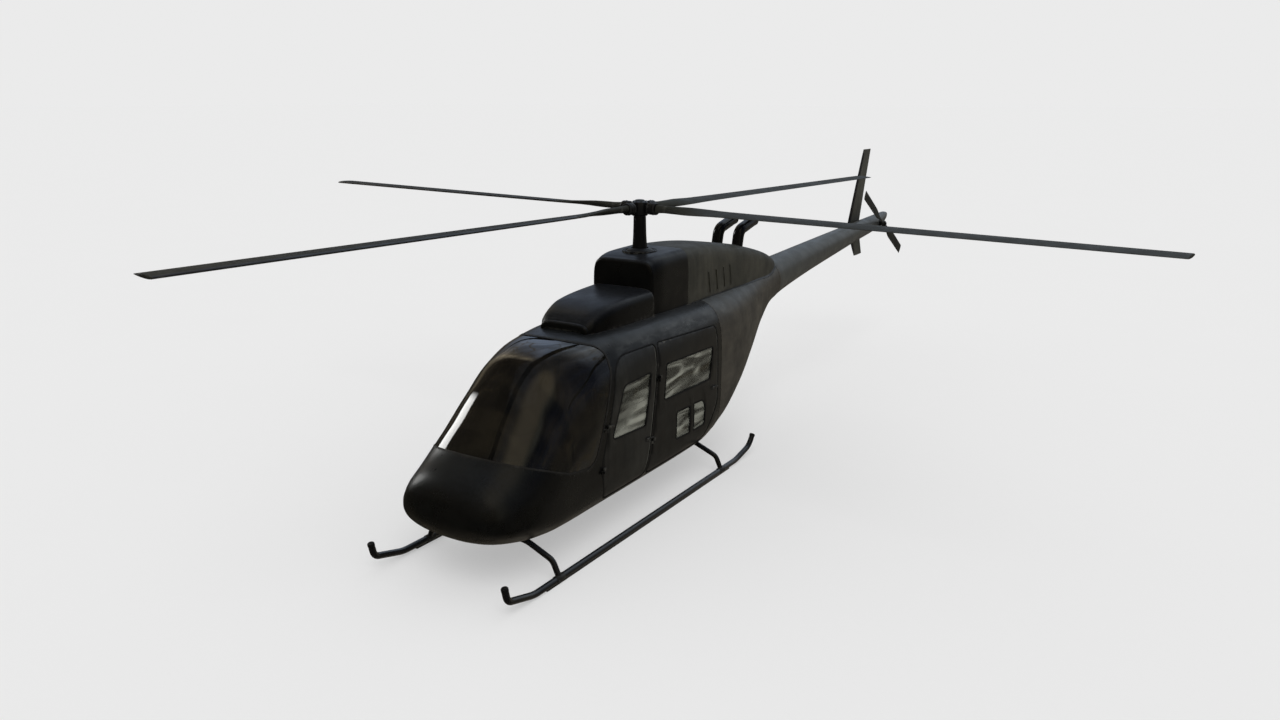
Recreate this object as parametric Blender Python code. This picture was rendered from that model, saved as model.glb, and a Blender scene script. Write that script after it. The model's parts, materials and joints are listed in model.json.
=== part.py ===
"""Light utility helicopter, parked on its skids.

Metres, +Z up, nose towards -Y, port side towards +X, ground at height zero.
Shapes are drawn at stations: distances along the aircraft from the rotor mast.
The station_frame empty then carries them to the part's own frame, whose origin
lies on the ground below the middle of the whole machine.
"""
import math
from collections import namedtuple

import bmesh
import bpy
import numpy as np
from mathutils import Matrix, Vector

# Driving dimensions
MAST_Y = -1.5762            # the mast's place in the part's own frame
ROTOR_RADIUS = 4.985
ROTOR_HEIGHT = 2.879
ROTOR_AZIMUTH = 6.48        # degrees the blades are parked away from the long axis
TAIL_ROTOR_RADIUS = 1.095
TAIL_ROTOR_HUB = (0.180, 7.130, 1.970)
TAIL_ROTOR_TILT = -29.5     # degrees the parked blades lean from level
FLOOR_TOP = 0.400
WALL = 0.040                # cabin walls and doors
FAIRING_WALL = 0.025        # cowlings and tail skins
DOOR_GAP = 0.006
DOOR_AFT_GAP = 0.012        # the curved doors sweep aft a little as they open
DOOR_SILL_GAP = 0.014       # and their lower edges dip, because the hinges lean
HINGE_TILT = 10.0           # degrees the door hinges lean aft at the top
HINGE_X = 0.672             # hinge lines stand just outside the widest skin
GLASS = 0.006
SEAT_GAP = 0.0004           # between pieces that rest on each other
WELD = 0.00005              # points nearer than this are one
ARC_STEPS = 4               # segments in a rounded corner
TUBE_SIDES = 12

# Stations where the body is split
NOSE = -3.060
BULKHEAD = 0.620
BOOM_ROOT = 3.000
BOOM_END = 7.350
CABIN_INSIDE = (-2.880, 0.560)

Section = namedtuple("Section", "y low high half_width widest top_power bottom_power")
Corner = namedtuple("Corner", "y z radius")

# Cross sections of the body are two half superellipses that meet at the widest height
BODY_SECTIONS = [Section(*row) for row in (
    (-3.06, 0.56, 0.70, 0.260, 0.63, 2.4, 2.2),
    (-3.03, 0.48, 0.80, 0.420, 0.62, 2.3, 2.2),
    (-2.93, 0.41, 0.93, 0.540, 0.60, 2.3, 2.4),
    (-2.75, 0.35, 1.05, 0.610, 0.60, 2.3, 2.6),
    (-2.50, 0.30, 1.30, 0.645, 0.62, 2.2, 3.0),
    (-2.20, 0.27, 1.60, 0.650, 0.66, 2.3, 3.4),
    (-1.95, 0.27, 1.77, 0.650, 0.72, 2.6, 3.8),
    (-1.60, 0.27, 1.85, 0.655, 0.85, 3.2, 4.2),
    (-1.00, 0.27, 1.88, 0.660, 0.95, 4.0, 4.4),
    (-0.30, 0.27, 1.88, 0.665, 1.00, 4.4, 4.4),
    (0.30, 0.27, 1.88, 0.665, 1.05, 4.4, 4.2),
    (0.80, 0.37, 1.88, 0.645, 1.15, 4.2, 3.8),
    (1.30, 0.59, 1.88, 0.580, 1.25, 3.8, 3.4),
    (1.80, 0.85, 1.88, 0.470, 1.40, 3.2, 3.0),
    (2.30, 1.13, 1.89, 0.350, 1.54, 2.8, 2.4),
    (2.80, 1.35, 1.91, 0.260, 1.64, 2.3, 2.0),
    (3.40, 1.46, 1.94, 0.220, 1.72, 2.2, 1.8),
    (6.00, 1.75, 2.05, 0.150, 1.91, 2.1, 1.8),
    (7.35, 1.89, 2.10, 0.105, 2.00, 2.1, 1.9),
    (7.60, 1.97, 2.11, 0.070, 2.04, 2.0, 2.0),
    (7.75, 2.04, 2.09, 0.025, 2.06, 2.0, 2.0),
)]
FORWARD_COWLING = [Section(*row) for row in (
    (-1.34, 1.75, 1.91, 0.244, 1.80, 4.5, 3.0),
    (-1.28, 1.75, 1.98, 0.296, 1.80, 5.0, 3.0),
    (-1.18, 1.75, 2.04, 0.320, 1.80, 5.5, 3.0),
    (-1.00, 1.75, 2.09, 0.350, 1.80, 6.5, 3.0),
    (-0.60, 1.75, 2.12, 0.375, 1.80, 7.5, 3.0),
    (-0.3404, 1.75, 2.13, 0.385, 1.80, 7.5, 3.0),
)]
MAST_COWLING = [Section(*row) for row in (
    (-0.34, 1.75, 2.38, 0.350, 1.90, 6.5, 4.0),
    (-0.28, 1.75, 2.41, 0.365, 1.90, 7.0, 4.0),
    (-0.10, 1.75, 2.44, 0.380, 1.90, 7.5, 4.0),
    (0.34, 1.75, 2.45, 0.385, 1.90, 7.5, 4.0),
)]
ENGINE_COWLING = [Section(*row) for row in (
    (0.3404, 1.72, 2.45, 0.385, 1.85, 7.5, 4.0),
    (0.90, 1.72, 2.42, 0.370, 1.85, 6.5, 4.0),
    (1.60, 1.72, 2.33, 0.330, 1.85, 5.5, 4.0),
    (2.20, 1.72, 2.21, 0.275, 1.85, 4.5, 4.0),
    (2.75, 1.72, 2.07, 0.215, 1.82, 3.5, 4.0),
    (3.00, 1.72, 1.98, 0.160, 1.80, 3.0, 4.0),
)]

# Side outlines of the openings, as corners with a radius
WINDSCREEN_OUTLINE = [Corner(*row) for row in (
    (-3.40, 1.075, 0.0), (-2.72, 1.075, 0.10), (-2.45, 0.975, 0.30), (-2.13, 0.845, 0.40),
    (-1.77, 0.790, 0.10), (-1.42, 1.570, 0.30), (-1.38, 1.790, 0.10), (-1.60, 1.860, 0.05),
    (-1.62, 2.300, 0.0), (-3.40, 2.300, 0.0),
)]
DOOR_SILL = 0.425
DOOR_HEAD = 1.680
SEAM_TOP = -0.660           # the middle of the post between the doors, at the door heads
HALF_POST = 0.019


def seam(z):
    """Station of the middle of the door post at height z."""
    return SEAM_TOP - (DOOR_HEAD - z) * math.tan(math.radians(HINGE_TILT))


FRONT_DOOR = [Corner(*row) for row in (
    (-1.585, DOOR_SILL, 0.05), (-1.668, 0.740, 0.30), (-1.310, DOOR_HEAD, 0.24),
    (seam(DOOR_HEAD) - HALF_POST - DOOR_AFT_GAP, DOOR_HEAD, 0.04),
    (seam(DOOR_SILL) - HALF_POST - DOOR_AFT_GAP, DOOR_SILL, 0.05),
)]
REAR_DOOR = [Corner(*row) for row in (
    (seam(DOOR_SILL) + HALF_POST + DOOR_GAP, DOOR_SILL, 0.05),
    (seam(DOOR_HEAD) + HALF_POST + DOOR_GAP, DOOR_HEAD, 0.04),
    (0.490, 1.635, 0.06), (0.515, 0.800, 0.26), (0.270, DOOR_SILL, 0.14),
)]
FRONT_WINDOW = [Corner(*row) for row in (
    (-1.505, 0.960, 0.04), (-1.275, 1.425, 0.10), (-0.812, 1.445, 0.03), (-0.930, 0.935, 0.03),
)]
REAR_UPPER_WINDOW = [Corner(*row) for row in (
    (-0.600, 1.100, 0.03), (-0.545, 1.462, 0.03), (0.412, 1.435, 0.03), (0.340, 1.085, 0.05),
)]
REAR_LOWER_PANES = {
    "forward": [Corner(*row) for row in (
        (-0.360, 0.620, 0.03), (-0.360, 0.915, 0.03), (-0.075, 0.912, 0.01), (-0.060, 0.605, 0.01),
    )],
    "aft": [Corner(*row) for row in (
        (0.005, 0.605, 0.01), (-0.010, 0.912, 0.01), (0.250, 0.905, 0.12), (0.258, 0.610, 0.03),
    )],
}

# Landing gear
SKID_X = 0.7435
SKID_RADIUS = 0.030
SKID_HEIGHT = 0.037
SHOE = {"start": -2.640, "end": 0.640, "half_width": 0.022, "top": 0.020}
SKID_PATH = [Corner(*row) for row in (
    (-3.150, 0.255, 0.0), (-3.120, 0.125, 0.08), (-2.790, SKID_HEIGHT, 0.45),
    (0.830, SKID_HEIGHT, 0.70), (1.165, 0.105, 0.20), (1.245, 0.215, 0.0),
)]
CROSS_TUBES = {"front": -2.450, "rear": 0.475}
CROSS_TUBE_RADIUS = 0.026
CROSS_TUBE_HALF = [Corner(*row) for row in (    # x, z of one half, from the middle outwards
    (0.0, 0.298, 0.0), (0.400, 0.298, 0.30), (0.680, 0.185, 0.10), (SKID_X, 0.045, 0.0),
)]

# Rotor
GRIP_START = 0.1203
GRIP_END = 0.330
# distance from the hub's middle, chord, thickness, twist in degrees
BLADE_SECTIONS = [
    (0.3303, 0.085, 0.056, 40.0), (0.500, 0.105, 0.052, 32.0), (0.720, 0.180, 0.040, 14.0),
    (0.950, 0.250, 0.032, 5.0), (1.400, 0.255, 0.030, 3.0), (ROTOR_RADIUS, 0.255, 0.028, 0.0),
]
TAIL_BLADE_SECTIONS = [
    (0.0453, 0.050, 0.024, 30.0), (0.200, 0.070, 0.022, 20.0), (0.420, 0.150, 0.018, 8.0),
    (TAIL_ROTOR_RADIUS, 0.150, 0.012, 2.0),
]


# Geometry helpers

def monotone(xs, ys, wanted):
    """Smooth curve through the points that never overshoots them."""
    xs, ys = np.asarray(xs, float), np.asarray(ys, float)
    step = np.diff(xs)
    slope = np.diff(ys) / step
    tangent = np.concatenate([[slope[0]], np.zeros(len(xs) - 2), [slope[-1]]])
    for i in range(1, len(xs) - 1):
        if slope[i - 1] * slope[i] > 0:
            before, after = 2 * step[i] + step[i - 1], step[i] + 2 * step[i - 1]
            tangent[i] = (before + after) / (before / slope[i - 1] + after / slope[i])
    i = np.clip(np.searchsorted(xs, wanted) - 1, 0, len(xs) - 2)
    t = (wanted - xs[i]) / step[i]
    return ((1 + 2 * t) * (1 - t) ** 2 * ys[i] + t * (1 - t) ** 2 * step[i] * tangent[i]
            + t * t * (3 - 2 * t) * ys[i + 1] + t * t * (t - 1) * step[i] * tangent[i + 1])


def sections_between(table, start, end, spacing):
    """Sections read from the smooth table, its own stations kept, no further apart than spacing."""
    keys = [start] + [row.y for row in table if start + 1e-6 < row.y < end - 1e-6] + [end]
    stations = []
    for a, b in zip(keys, keys[1:]):
        stations += list(np.linspace(a, b, max(1, math.ceil((b - a) / spacing)), endpoint=False))
    stations = np.array(stations + [end])
    columns = zip(*table)
    ys = next(columns)
    return [Section(*row) for row in zip(stations, *(monotone(ys, column, stations) for column in columns))]


def section_ring(section, count, inset=0.0, floor=None):
    """Points of one section, taken in by inset and never below floor."""
    angles = np.linspace(-math.pi / 2, 1.5 * math.pi, count, endpoint=False)
    c, s = np.cos(angles), np.sin(angles)
    power = np.where(s > 0, section.top_power, section.bottom_power)
    height = np.where(s > 0, section.high - section.widest, section.widest - section.low)
    x = section.half_width * np.sign(c) * np.abs(c) ** (2 / power)
    z = section.widest + height * np.sign(s) * np.abs(s) ** (2 / power)
    x[np.abs(c) < 1e-9] = 0.0
    if inset:
        dx, dz = np.roll(x, -1) - np.roll(x, 1), np.roll(z, -1) - np.roll(z, 1)
        length = np.hypot(dx, dz)
        x, z = x - inset * dz / length, z + inset * dx / length
    if floor is not None:
        z = np.maximum(z, floor)
    return [Vector((px, section.y, pz)) for px, pz in zip(x, z)]


def rounded(corners, closed=True):
    """Outline points of corners, each turned in an arc of its radius."""
    points = []
    last = len(corners) - 1
    for i, corner in enumerate(corners):
        here = Vector((corner.y, corner.z))
        if corner.radius == 0 or (not closed and i in (0, last)):
            points.append(here)
            continue
        before = Vector(corners[i - 1][:2]) - here
        after = Vector(corners[(i + 1) % len(corners)][:2]) - here
        half = before.angle(after) / 2
        reach = corner.radius / math.tan(half)
        middle = here + (before.normalized() + after.normalized()).normalized() * corner.radius / math.sin(half)
        start, end = here + before.normalized() * reach - middle, here + after.normalized() * reach - middle
        turn = start.angle_signed(end)
        for step in range(ARC_STEPS + 1):
            angle = -turn * step / ARC_STEPS
            points.append(middle + Matrix.Rotation(angle, 2) @ start)
    return points


def grown(corners, margins):
    """The outline with each edge, from its corner to the next, moved out by its margin."""
    count = len(corners)
    points = [Vector(corner[:2]) for corner in corners]
    area = sum(points[i - 1].cross(points[i]) for i in range(count))
    lines = []
    for i in range(count):
        along = (points[(i + 1) % count] - points[i]).normalized()
        outward = Vector((along.y, -along.x)) * (1 if area > 0 else -1)
        lines.append((points[i] + outward * margins[i], along))
    result = []
    for i in range(count):
        (a, u), (b, v) = lines[i - 1], lines[i]
        meet = a + u * ((b - a).cross(v) / u.cross(v))
        radius = corners[i].radius
        result.append(Corner(meet.x, meet.y, radius and max(0.002, radius + min(margins[i - 1], margins[i]))))
    return result


def solid(name, rings, closed_path=False):
    """Skin equal rings of points in order, with flat ends or as a closed loop."""
    shape = bmesh.new()
    rows = [[shape.verts.new(point) for point in ring] for ring in rings]
    pairs = list(zip(rows, rows[1:])) + ([(rows[-1], rows[0])] if closed_path else [])
    for first, second in pairs:
        count = len(first)
        for i in range(count):
            j = (i + 1) % count
            shape.faces.new((first[i], first[j], second[j], second[i]))
    if not closed_path:
        shape.faces.new(rows[0])
        shape.faces.new(reversed(rows[-1]))
    bmesh.ops.recalc_face_normals(shape, faces=shape.faces)
    mesh = bpy.data.meshes.new(name)
    shape.to_mesh(mesh)
    shape.free()
    piece = bpy.data.objects.new(name, mesh)
    bpy.context.scene.collection.objects.link(piece)
    return piece


def loft(name, table, start, end, spacing, count, inset=0.0, floor=None):
    return solid(name, [section_ring(section, count, inset, floor)
                        for section in sections_between(table, start, end, spacing)])


def prism(name, outline, low_x, high_x):
    return solid(name, [[Vector((x, p.x, p.y)) for p in outline] for x in (low_x, high_x)])


def box(name, low, high):
    return prism(name, [Vector(p) for p in ((low[1], low[2]), (high[1], low[2]),
                                            (high[1], high[2]), (low[1], high[2]))], low[0], high[0])


def turned(name, profile, axis, centre, count=24):
    """Round piece: profile rows are distance along the axis and radius."""
    turn = Vector((0, 0, 1)).rotation_difference(Vector(axis)).to_matrix()
    rings = [[Vector(centre) + turn @ Vector((radius * math.cos(a), radius * math.sin(a), along))
              for a in np.linspace(0, 2 * math.pi, count, endpoint=False)] for along, radius in profile]
    return solid(name, rings)


def swept(name, path, side, radius, count=12):
    """Round bar along a flat path whose plane faces side."""
    side = Vector(side)
    rings = []
    for i, point in enumerate(path):
        tangent = (path[min(i + 1, len(path) - 1)] - path[max(i - 1, 0)]).normalized()
        across = side.cross(tangent)
        rings.append([point + radius * (math.cos(a) * side + math.sin(a) * across)
                      for a in np.linspace(0, 2 * math.pi, count, endpoint=False)])
    return solid(name, rings)


def bladed(name, rows, count=14):
    """Blade along +X from rows of distance, chord, thickness and twist."""
    rings = []
    for distance, chord, thickness, twist in rows:
        turn = Matrix.Rotation(math.radians(twist), 3, "X")
        ring = []
        for a in np.linspace(0, 2 * math.pi, count, endpoint=False):
            across = chord / 2 * math.cos(a)
            up = thickness / 2 * math.sin(a) * (1 + 0.35 * math.cos(a))
            ring.append(turn @ Vector((0, across, up)) + Vector((distance, 0, 0)))
        rings.append(ring)
    return solid(name, rings)


def weld(mesh):
    """Join points that a cut left almost on each other."""
    shape = bmesh.new()
    shape.from_mesh(mesh)
    bmesh.ops.remove_doubles(shape, verts=shape.verts, dist=WELD)
    shape.to_mesh(mesh)
    shape.free()


def combine(piece, tools, operation):
    """Cut, join or trim a piece with others, which are used up."""
    for tool in tools:
        modifier = piece.modifiers.new("combine", "BOOLEAN")
        modifier.object = tool
        modifier.operation = operation
        bpy.context.view_layer.update()
        evaluated = piece.evaluated_get(bpy.context.evaluated_depsgraph_get())
        mesh = bpy.data.meshes.new_from_object(evaluated)
        weld(mesh)
        piece.modifiers.clear()
        piece.data = mesh
        bpy.data.objects.remove(tool)
    return piece


def mirrored(piece, name):
    """Copy of a piece on the other side of the aircraft."""
    mesh = piece.data.copy()
    mesh.transform(Matrix.Scale(-1, 4, (1, 0, 0)))
    mesh.flip_normals()
    copy = bpy.data.objects.new(name, mesh)
    bpy.context.scene.collection.objects.link(copy)
    return copy


def paint(name, colour, roughness, metallic=0.0, alpha=1.0):
    material = bpy.data.materials.new(name)
    material.use_nodes = True
    shader = material.node_tree.nodes["Principled BSDF"]
    shader.inputs["Base Color"].default_value = (*colour, 1.0)
    shader.inputs["Roughness"].default_value = roughness
    shader.inputs["Metallic"].default_value = metallic
    shader.inputs["Alpha"].default_value = alpha
    return material


def empty(name, location, parent=None, rotation=(0, 0, 0)):
    marker = bpy.data.objects.new(name, None)
    marker.location = location
    marker.rotation_euler = rotation
    marker.parent = parent
    bpy.context.scene.collection.objects.link(marker)
    return marker


def install(piece, material, carrier, smooth_angle=30.0):
    """Give a piece its material and hang it on its carrier, drawn about the carrier's own place."""
    if carrier.parent is not None:
        carrier_place = Matrix.LocRotScale(carrier.location, carrier.rotation_euler, None)
        piece.data.transform(carrier_place.inverted())
    piece.parent = carrier
    piece.data.materials.clear()
    piece.data.materials.append(material)
    piece.data.shade_smooth()
    piece.data.set_sharp_from_angle(angle=math.radians(smooth_angle))


# Body

HULL = {"spacing": 0.24, "count": 36}


def hull(name, start, end, inset=0.0, floor=None):
    return loft(name, BODY_SECTIONS, start, end, HULL["spacing"], HULL["count"], inset, floor)


def hull_jacket(name):
    """The body a seat gap larger all round, to cut what stands on it."""
    return hull(name, NOSE, BOOM_ROOT + 0.4, -SEAT_GAP)


def cabin_wall(name):
    """The cabin's closed skin of full wall thickness, before any opening."""
    inside = hull("inside", *CABIN_INSIDE, inset=WALL, floor=FLOOR_TOP)
    return combine(hull(name, NOSE, BULKHEAD), [inside], "DIFFERENCE")


def door_blank(name, corners):
    return prism(name, rounded(corners), 0.30, 0.80)


def door_opening(name, corners, margins):
    return prism(name, rounded(grown(corners, margins)), 0.25, 0.85)


def hinge_leaf(name, pivot, sign, pad):
    """Knuckle, strap and pad of one hinge leaf: sign +1 above the split, -1 below, pad = (near, far)."""
    length, radius, thick, deep = 0.030, 0.010, 0.010, 0.030
    low, high = sorted((sign * SEAT_GAP / 2, sign * length))
    knuckle = turned(name, [(low, radius), (high, radius)], (0, 0, 1), (0, 0, 0), 12)
    near, far = pad
    middle = (near + far) / 2
    strap = box("strap", (-thick, min(0.0, middle), low + 0.001), (0.001, max(0.0, middle), high - 0.001))
    foot = box("foot", (-deep, near, low + 0.002), (-0.001, far, high - 0.002))
    leaf = combine(knuckle, [strap, foot], "UNION")
    leaf.data.transform(pivot)
    return leaf


# station and height of a point on each hinge line, hinge heights, and where the door's pads start
DOOR_HINGES = {
    "front": {"line": (-1.6555, 0.72), "heights": {0.72: 0.006, 1.10: 0.066}},
    "rear": {"line": (seam(DOOR_HEAD) + HALF_POST + DOOR_GAP / 2, DOOR_HEAD),
             "heights": {0.75: 0.004, 1.35: 0.004}},
}
PAD_LENGTH = 0.034
PAD_SETBACK = 0.005         # the frame's pads stop short of the door's edge


def hinge_pivot(row, height):
    """Place on the hinge line at a height, its Z along the line."""
    y, z = DOOR_HINGES[row]["line"]
    station = y + (height - z) * math.tan(math.radians(HINGE_TILT))
    return Matrix.Translation((HINGE_X, station, height)) @ Matrix.Rotation(-math.radians(HINGE_TILT), 4, "X")


def hinge_leaves(row, sign):
    leaves = []
    for height, reach in DOOR_HINGES[row]["heights"].items():
        pad = (reach, reach + PAD_LENGTH) if sign > 0 else (-PAD_LENGTH, -PAD_SETBACK)
        leaves.append(hinge_leaf("leaf", hinge_pivot(row, height), sign, pad))
    return leaves


def build_cabin(paints, frame):
    shell = cabin_wall("cabin_shell")
    combine(shell, [prism("cut", rounded(WINDSCREEN_OUTLINE), -0.9, 0.9)], "DIFFERENCE")
    openings = {"front": (FRONT_DOOR, (DOOR_GAP, DOOR_GAP, DOOR_GAP, DOOR_AFT_GAP, DOOR_SILL_GAP)),
                "rear": (REAR_DOOR, (DOOR_GAP, DOOR_GAP, DOOR_AFT_GAP, DOOR_AFT_GAP, DOOR_SILL_GAP))}
    for row, (corners, margins) in openings.items():
        port = door_opening("cut", corners, margins)
        combine(shell, [mirrored(port, "cut"), port], "DIFFERENCE")
        for leaf in hinge_leaves(row, -1):
            combine(shell, [mirrored(leaf, "leaf"), leaf], "UNION")
    for station in CROSS_TUBES.values():
        half = CROSS_TUBE_RADIUS + SEAT_GAP
        top = CROSS_TUBE_HALF[0].z + half
        combine(shell, [box("cut", (-0.9, station - half, 0.1), (0.9, station + half, top))], "DIFFERENCE")
    install(shell, paints["body"], frame)
    glass = hull("windscreen", -2.93, -1.2, 0.002)
    combine(glass, [hull("inside", -2.95, -1.1, 0.002 + GLASS)], "DIFFERENCE")
    margins = [-SEAT_GAP] * len(WINDSCREEN_OUTLINE)
    combine(glass, [prism("trim", rounded(grown(WINDSCREEN_OUTLINE, margins)), -0.9, 0.9)], "INTERSECT")
    install(glass, paints["glass"], frame)


def build_tail(paints, frame):
    hollow = hull("inside", BULKHEAD - 0.1, BOOM_ROOT - 0.06, FAIRING_WALL)
    aft = combine(hull("aft_fuselage", BULKHEAD + SEAT_GAP, BOOM_ROOT), [hollow], "DIFFERENCE")
    install(aft, paints["body"], frame)
    boom = loft("tail_boom", BODY_SECTIONS, BOOM_ROOT + SEAT_GAP, BOOM_END, 0.8, 22)
    bore = loft("inside", BODY_SECTIONS, BOOM_ROOT - 0.1, BOOM_END - 0.06, 0.8, 22, FAIRING_WALL)
    install(combine(boom, [bore], "DIFFERENCE"), paints["body"], frame)
    cap = loft("boom_end", BODY_SECTIONS, BOOM_END + SEAT_GAP, BODY_SECTIONS[-1].y, 0.1, 20)
    install(cap, paints["body"], frame)


def boom_jacket(name):
    return loft(name, BODY_SECTIONS, BOOM_ROOT - 0.3, BOOM_END, 0.8, 22, -SEAT_GAP)


FIN_X = -0.152
# height, leading edge station, chord, thickness
FIN_SECTIONS = [
    (1.470, 6.740, 0.340, 0.022), (1.700, 6.560, 0.420, 0.030), (2.000, 6.370, 0.520, 0.034),
    (2.600, 6.650, 0.420, 0.030), (3.150, 6.920, 0.330, 0.024),
]


def build_fin(paints, frame):
    rings = []
    for height, leading, chord, thickness in FIN_SECTIONS:
        ring = []
        for a in np.linspace(0, 2 * math.pi, 16, endpoint=False):
            station = leading + chord / 2 * (1 - math.cos(a))
            x = FIN_X + thickness / 2 * math.sin(a) * (1 + 0.45 * math.cos(a))
            ring.append(Vector((x, station, height)))
        rings.append(ring)
    fin = combine(solid("vertical_fin", rings), [boom_jacket("jacket")], "DIFFERENCE")
    install(fin, paints["body"], frame)


COWLINGS = {"cowling_forward": FORWARD_COWLING, "cowling_mast": MAST_COWLING,
            "cowling_engine": ENGINE_COWLING}
COWLING = {"spacing": 0.35, "count": 28}


def cowling_outside(name, table, inset=0.0):
    return loft(name, table, table[0].y, table[-1].y, COWLING["spacing"], COWLING["count"], inset)


def cowling_inside(table):
    """The hollow under a cowling, open downwards."""
    lowered = [row._replace(low=row.low - 0.2, widest=row.widest - 0.2) for row in table]
    return loft("inside", lowered, table[0].y + FAIRING_WALL, table[-1].y - FAIRING_WALL,
                COWLING["spacing"], COWLING["count"], FAIRING_WALL)


MAST_HOLE = 0.090


def build_cowlings(paints, frame):
    for name, table in COWLINGS.items():
        cover = combine(cowling_outside(name, table), [cowling_inside(table), hull_jacket("jacket")], "DIFFERENCE")
        if name == "cowling_mast":
            hole = turned("hole", [(2.2, MAST_HOLE), (2.6, MAST_HOLE)], (0, 0, 1), (0, 0, 0))
            combine(cover, [hole], "DIFFERENCE")
        install(cover, paints["body"], frame)
    ring = turned("mast_collar", [(2.40, 0.135), (2.458, 0.135), (2.470, 0.120), (2.474, 0.095)],
                  (0, 0, 1), (0, 0, 0), 32)
    hole = turned("hole", [(2.2, MAST_HOLE), (2.6, MAST_HOLE)], (0, 0, 1), (0, 0, 0))
    combine(ring, [hole, cowling_outside("jacket", MAST_COWLING, -SEAT_GAP)], "DIFFERENCE")
    install(ring, paints["dark metal"], frame)


EXHAUST_X = 0.135
EXHAUST_RADIUS = 0.066
EXHAUST_WALL = 0.005
EXHAUST_PATH = [Corner(*row) for row in ((1.930, 2.200, 0.0), (1.990, 2.435, 0.12), (2.370, 2.520, 0.0))]


def build_exhausts(paints, frame):
    for side, x in (("port", EXHAUST_X), ("starboard", -EXHAUST_X)):
        path = [Vector((x, p.x, p.y)) for p in rounded(EXHAUST_PATH, closed=False)]
        pipe = swept(f"exhaust_{side}", path, (1, 0, 0), EXHAUST_RADIUS, TUBE_SIDES)
        first, last = path[0] - path[1], path[-1] - path[-2]
        long_path = [path[0] + first.normalized() * 0.1] + path + [path[-1] + last.normalized() * 0.1]
        bore = swept("bore", long_path, (1, 0, 0), EXHAUST_RADIUS - EXHAUST_WALL, TUBE_SIDES)
        combine(pipe, [bore, cowling_outside("jacket", ENGINE_COWLING, -SEAT_GAP)], "DIFFERENCE")
        install(pipe, paints["dark metal"], frame)


ROOF = 1.880
BLOCKS = {      # low and high corners of the heavy masses under the cowlings
    "engine": ((-0.200, 0.560, ROOF + SEAT_GAP), (0.200, 1.580, 2.240)),
    "transmission": ((-0.240, -0.270, ROOF + SEAT_GAP), (0.240, 0.280, 2.300)),
}


def build_blocks(paints, frame):
    for name, (low, high) in BLOCKS.items():
        install(box(name, low, high), paints["bare metal"], frame)


# Landing gear

def build_gear(paints, frame):
    path = [Vector((SKID_X, p.x, p.y)) for p in rounded(SKID_PATH, closed=False)]
    port = swept("skid_port", path, (1, 0, 0), SKID_RADIUS, TUBE_SIDES)
    wear_shoe = box("shoe", (SKID_X - SHOE["half_width"], SHOE["start"], 0.0),
                    (SKID_X + SHOE["half_width"], SHOE["end"], SHOE["top"]))
    combine(port, [wear_shoe], "UNION")
    starboard = mirrored(port, "skid_starboard")
    half = [Vector((p.x, p.y)) for p in rounded(CROSS_TUBE_HALF, closed=False)]
    outline = [Vector((-p.x, p.y)) for p in reversed(half[1:])] + half
    for name, station in CROSS_TUBES.items():
        path = [Vector((p.x, station, p.y)) for p in outline]
        tube = swept(f"cross_tube_{name}", path, (0, 1, 0), CROSS_TUBE_RADIUS, TUBE_SIDES)
        for x in (SKID_X, -SKID_X):
            jacket = swept("jacket", [Vector((x, y, SKID_HEIGHT)) for y in (-2.9, 0.9)], (1, 0, 0),
                           SKID_RADIUS + SEAT_GAP, TUBE_SIDES)
            combine(tube, [jacket], "DIFFERENCE")
        install(tube, paints["gear"], frame)
    for skid in (port, starboard):
        install(skid, paints["gear"], frame)


# Cabin fittings

SEAT_TOP = 0.640            # top of the boxes under the front cushions
BENCH_TOP = 0.620
CUSHION = 0.110
FITTINGS = {    # name: paint, low corner, high corner
    "seat_base_front": ("trim", (-0.500, -1.480, FLOOR_TOP + SEAT_GAP), (0.500, -0.900, SEAT_TOP)),
    "seat_base_rear": ("trim", (-0.450, -0.220, FLOOR_TOP + SEAT_GAP), (0.450, 0.400, BENCH_TOP)),
    "front_cushion_port": ("seat", (0.080, -1.480, SEAT_TOP + SEAT_GAP), (0.540, -1.030, SEAT_TOP + CUSHION)),
    "front_back_port": ("seat", (0.080, -1.0296, SEAT_TOP + SEAT_GAP), (0.540, -0.910, 1.300)),
    "rear_cushion": ("seat", (-0.545, -0.220, BENCH_TOP + SEAT_GAP), (0.545, 0.280, BENCH_TOP + CUSHION)),
    "rear_back": ("seat", (-0.545, 0.2804, BENCH_TOP + SEAT_GAP), (0.545, 0.420, 1.280)),
}


def build_fittings(paints, frame):
    for name, (finish, low, high) in FITTINGS.items():
        piece = box(name, low, high)
        if name.endswith("_port"):
            install(mirrored(piece, name.replace("port", "starboard")), paints[finish], frame)
        install(piece, paints[finish], frame)
    console = box("instrument_console", (-0.110, -2.420, FLOOR_TOP + SEAT_GAP), (0.110, -1.640, 0.700))
    outline = [Vector(p) for p in ((-2.430, 0.690), (-2.200, 0.690), (-2.150, 1.060), (-2.430, 1.060))]
    combine(console, [prism("panel", outline, -0.400, 0.400)], "UNION")
    install(console, paints["trim"], frame)


# Doors

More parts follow.
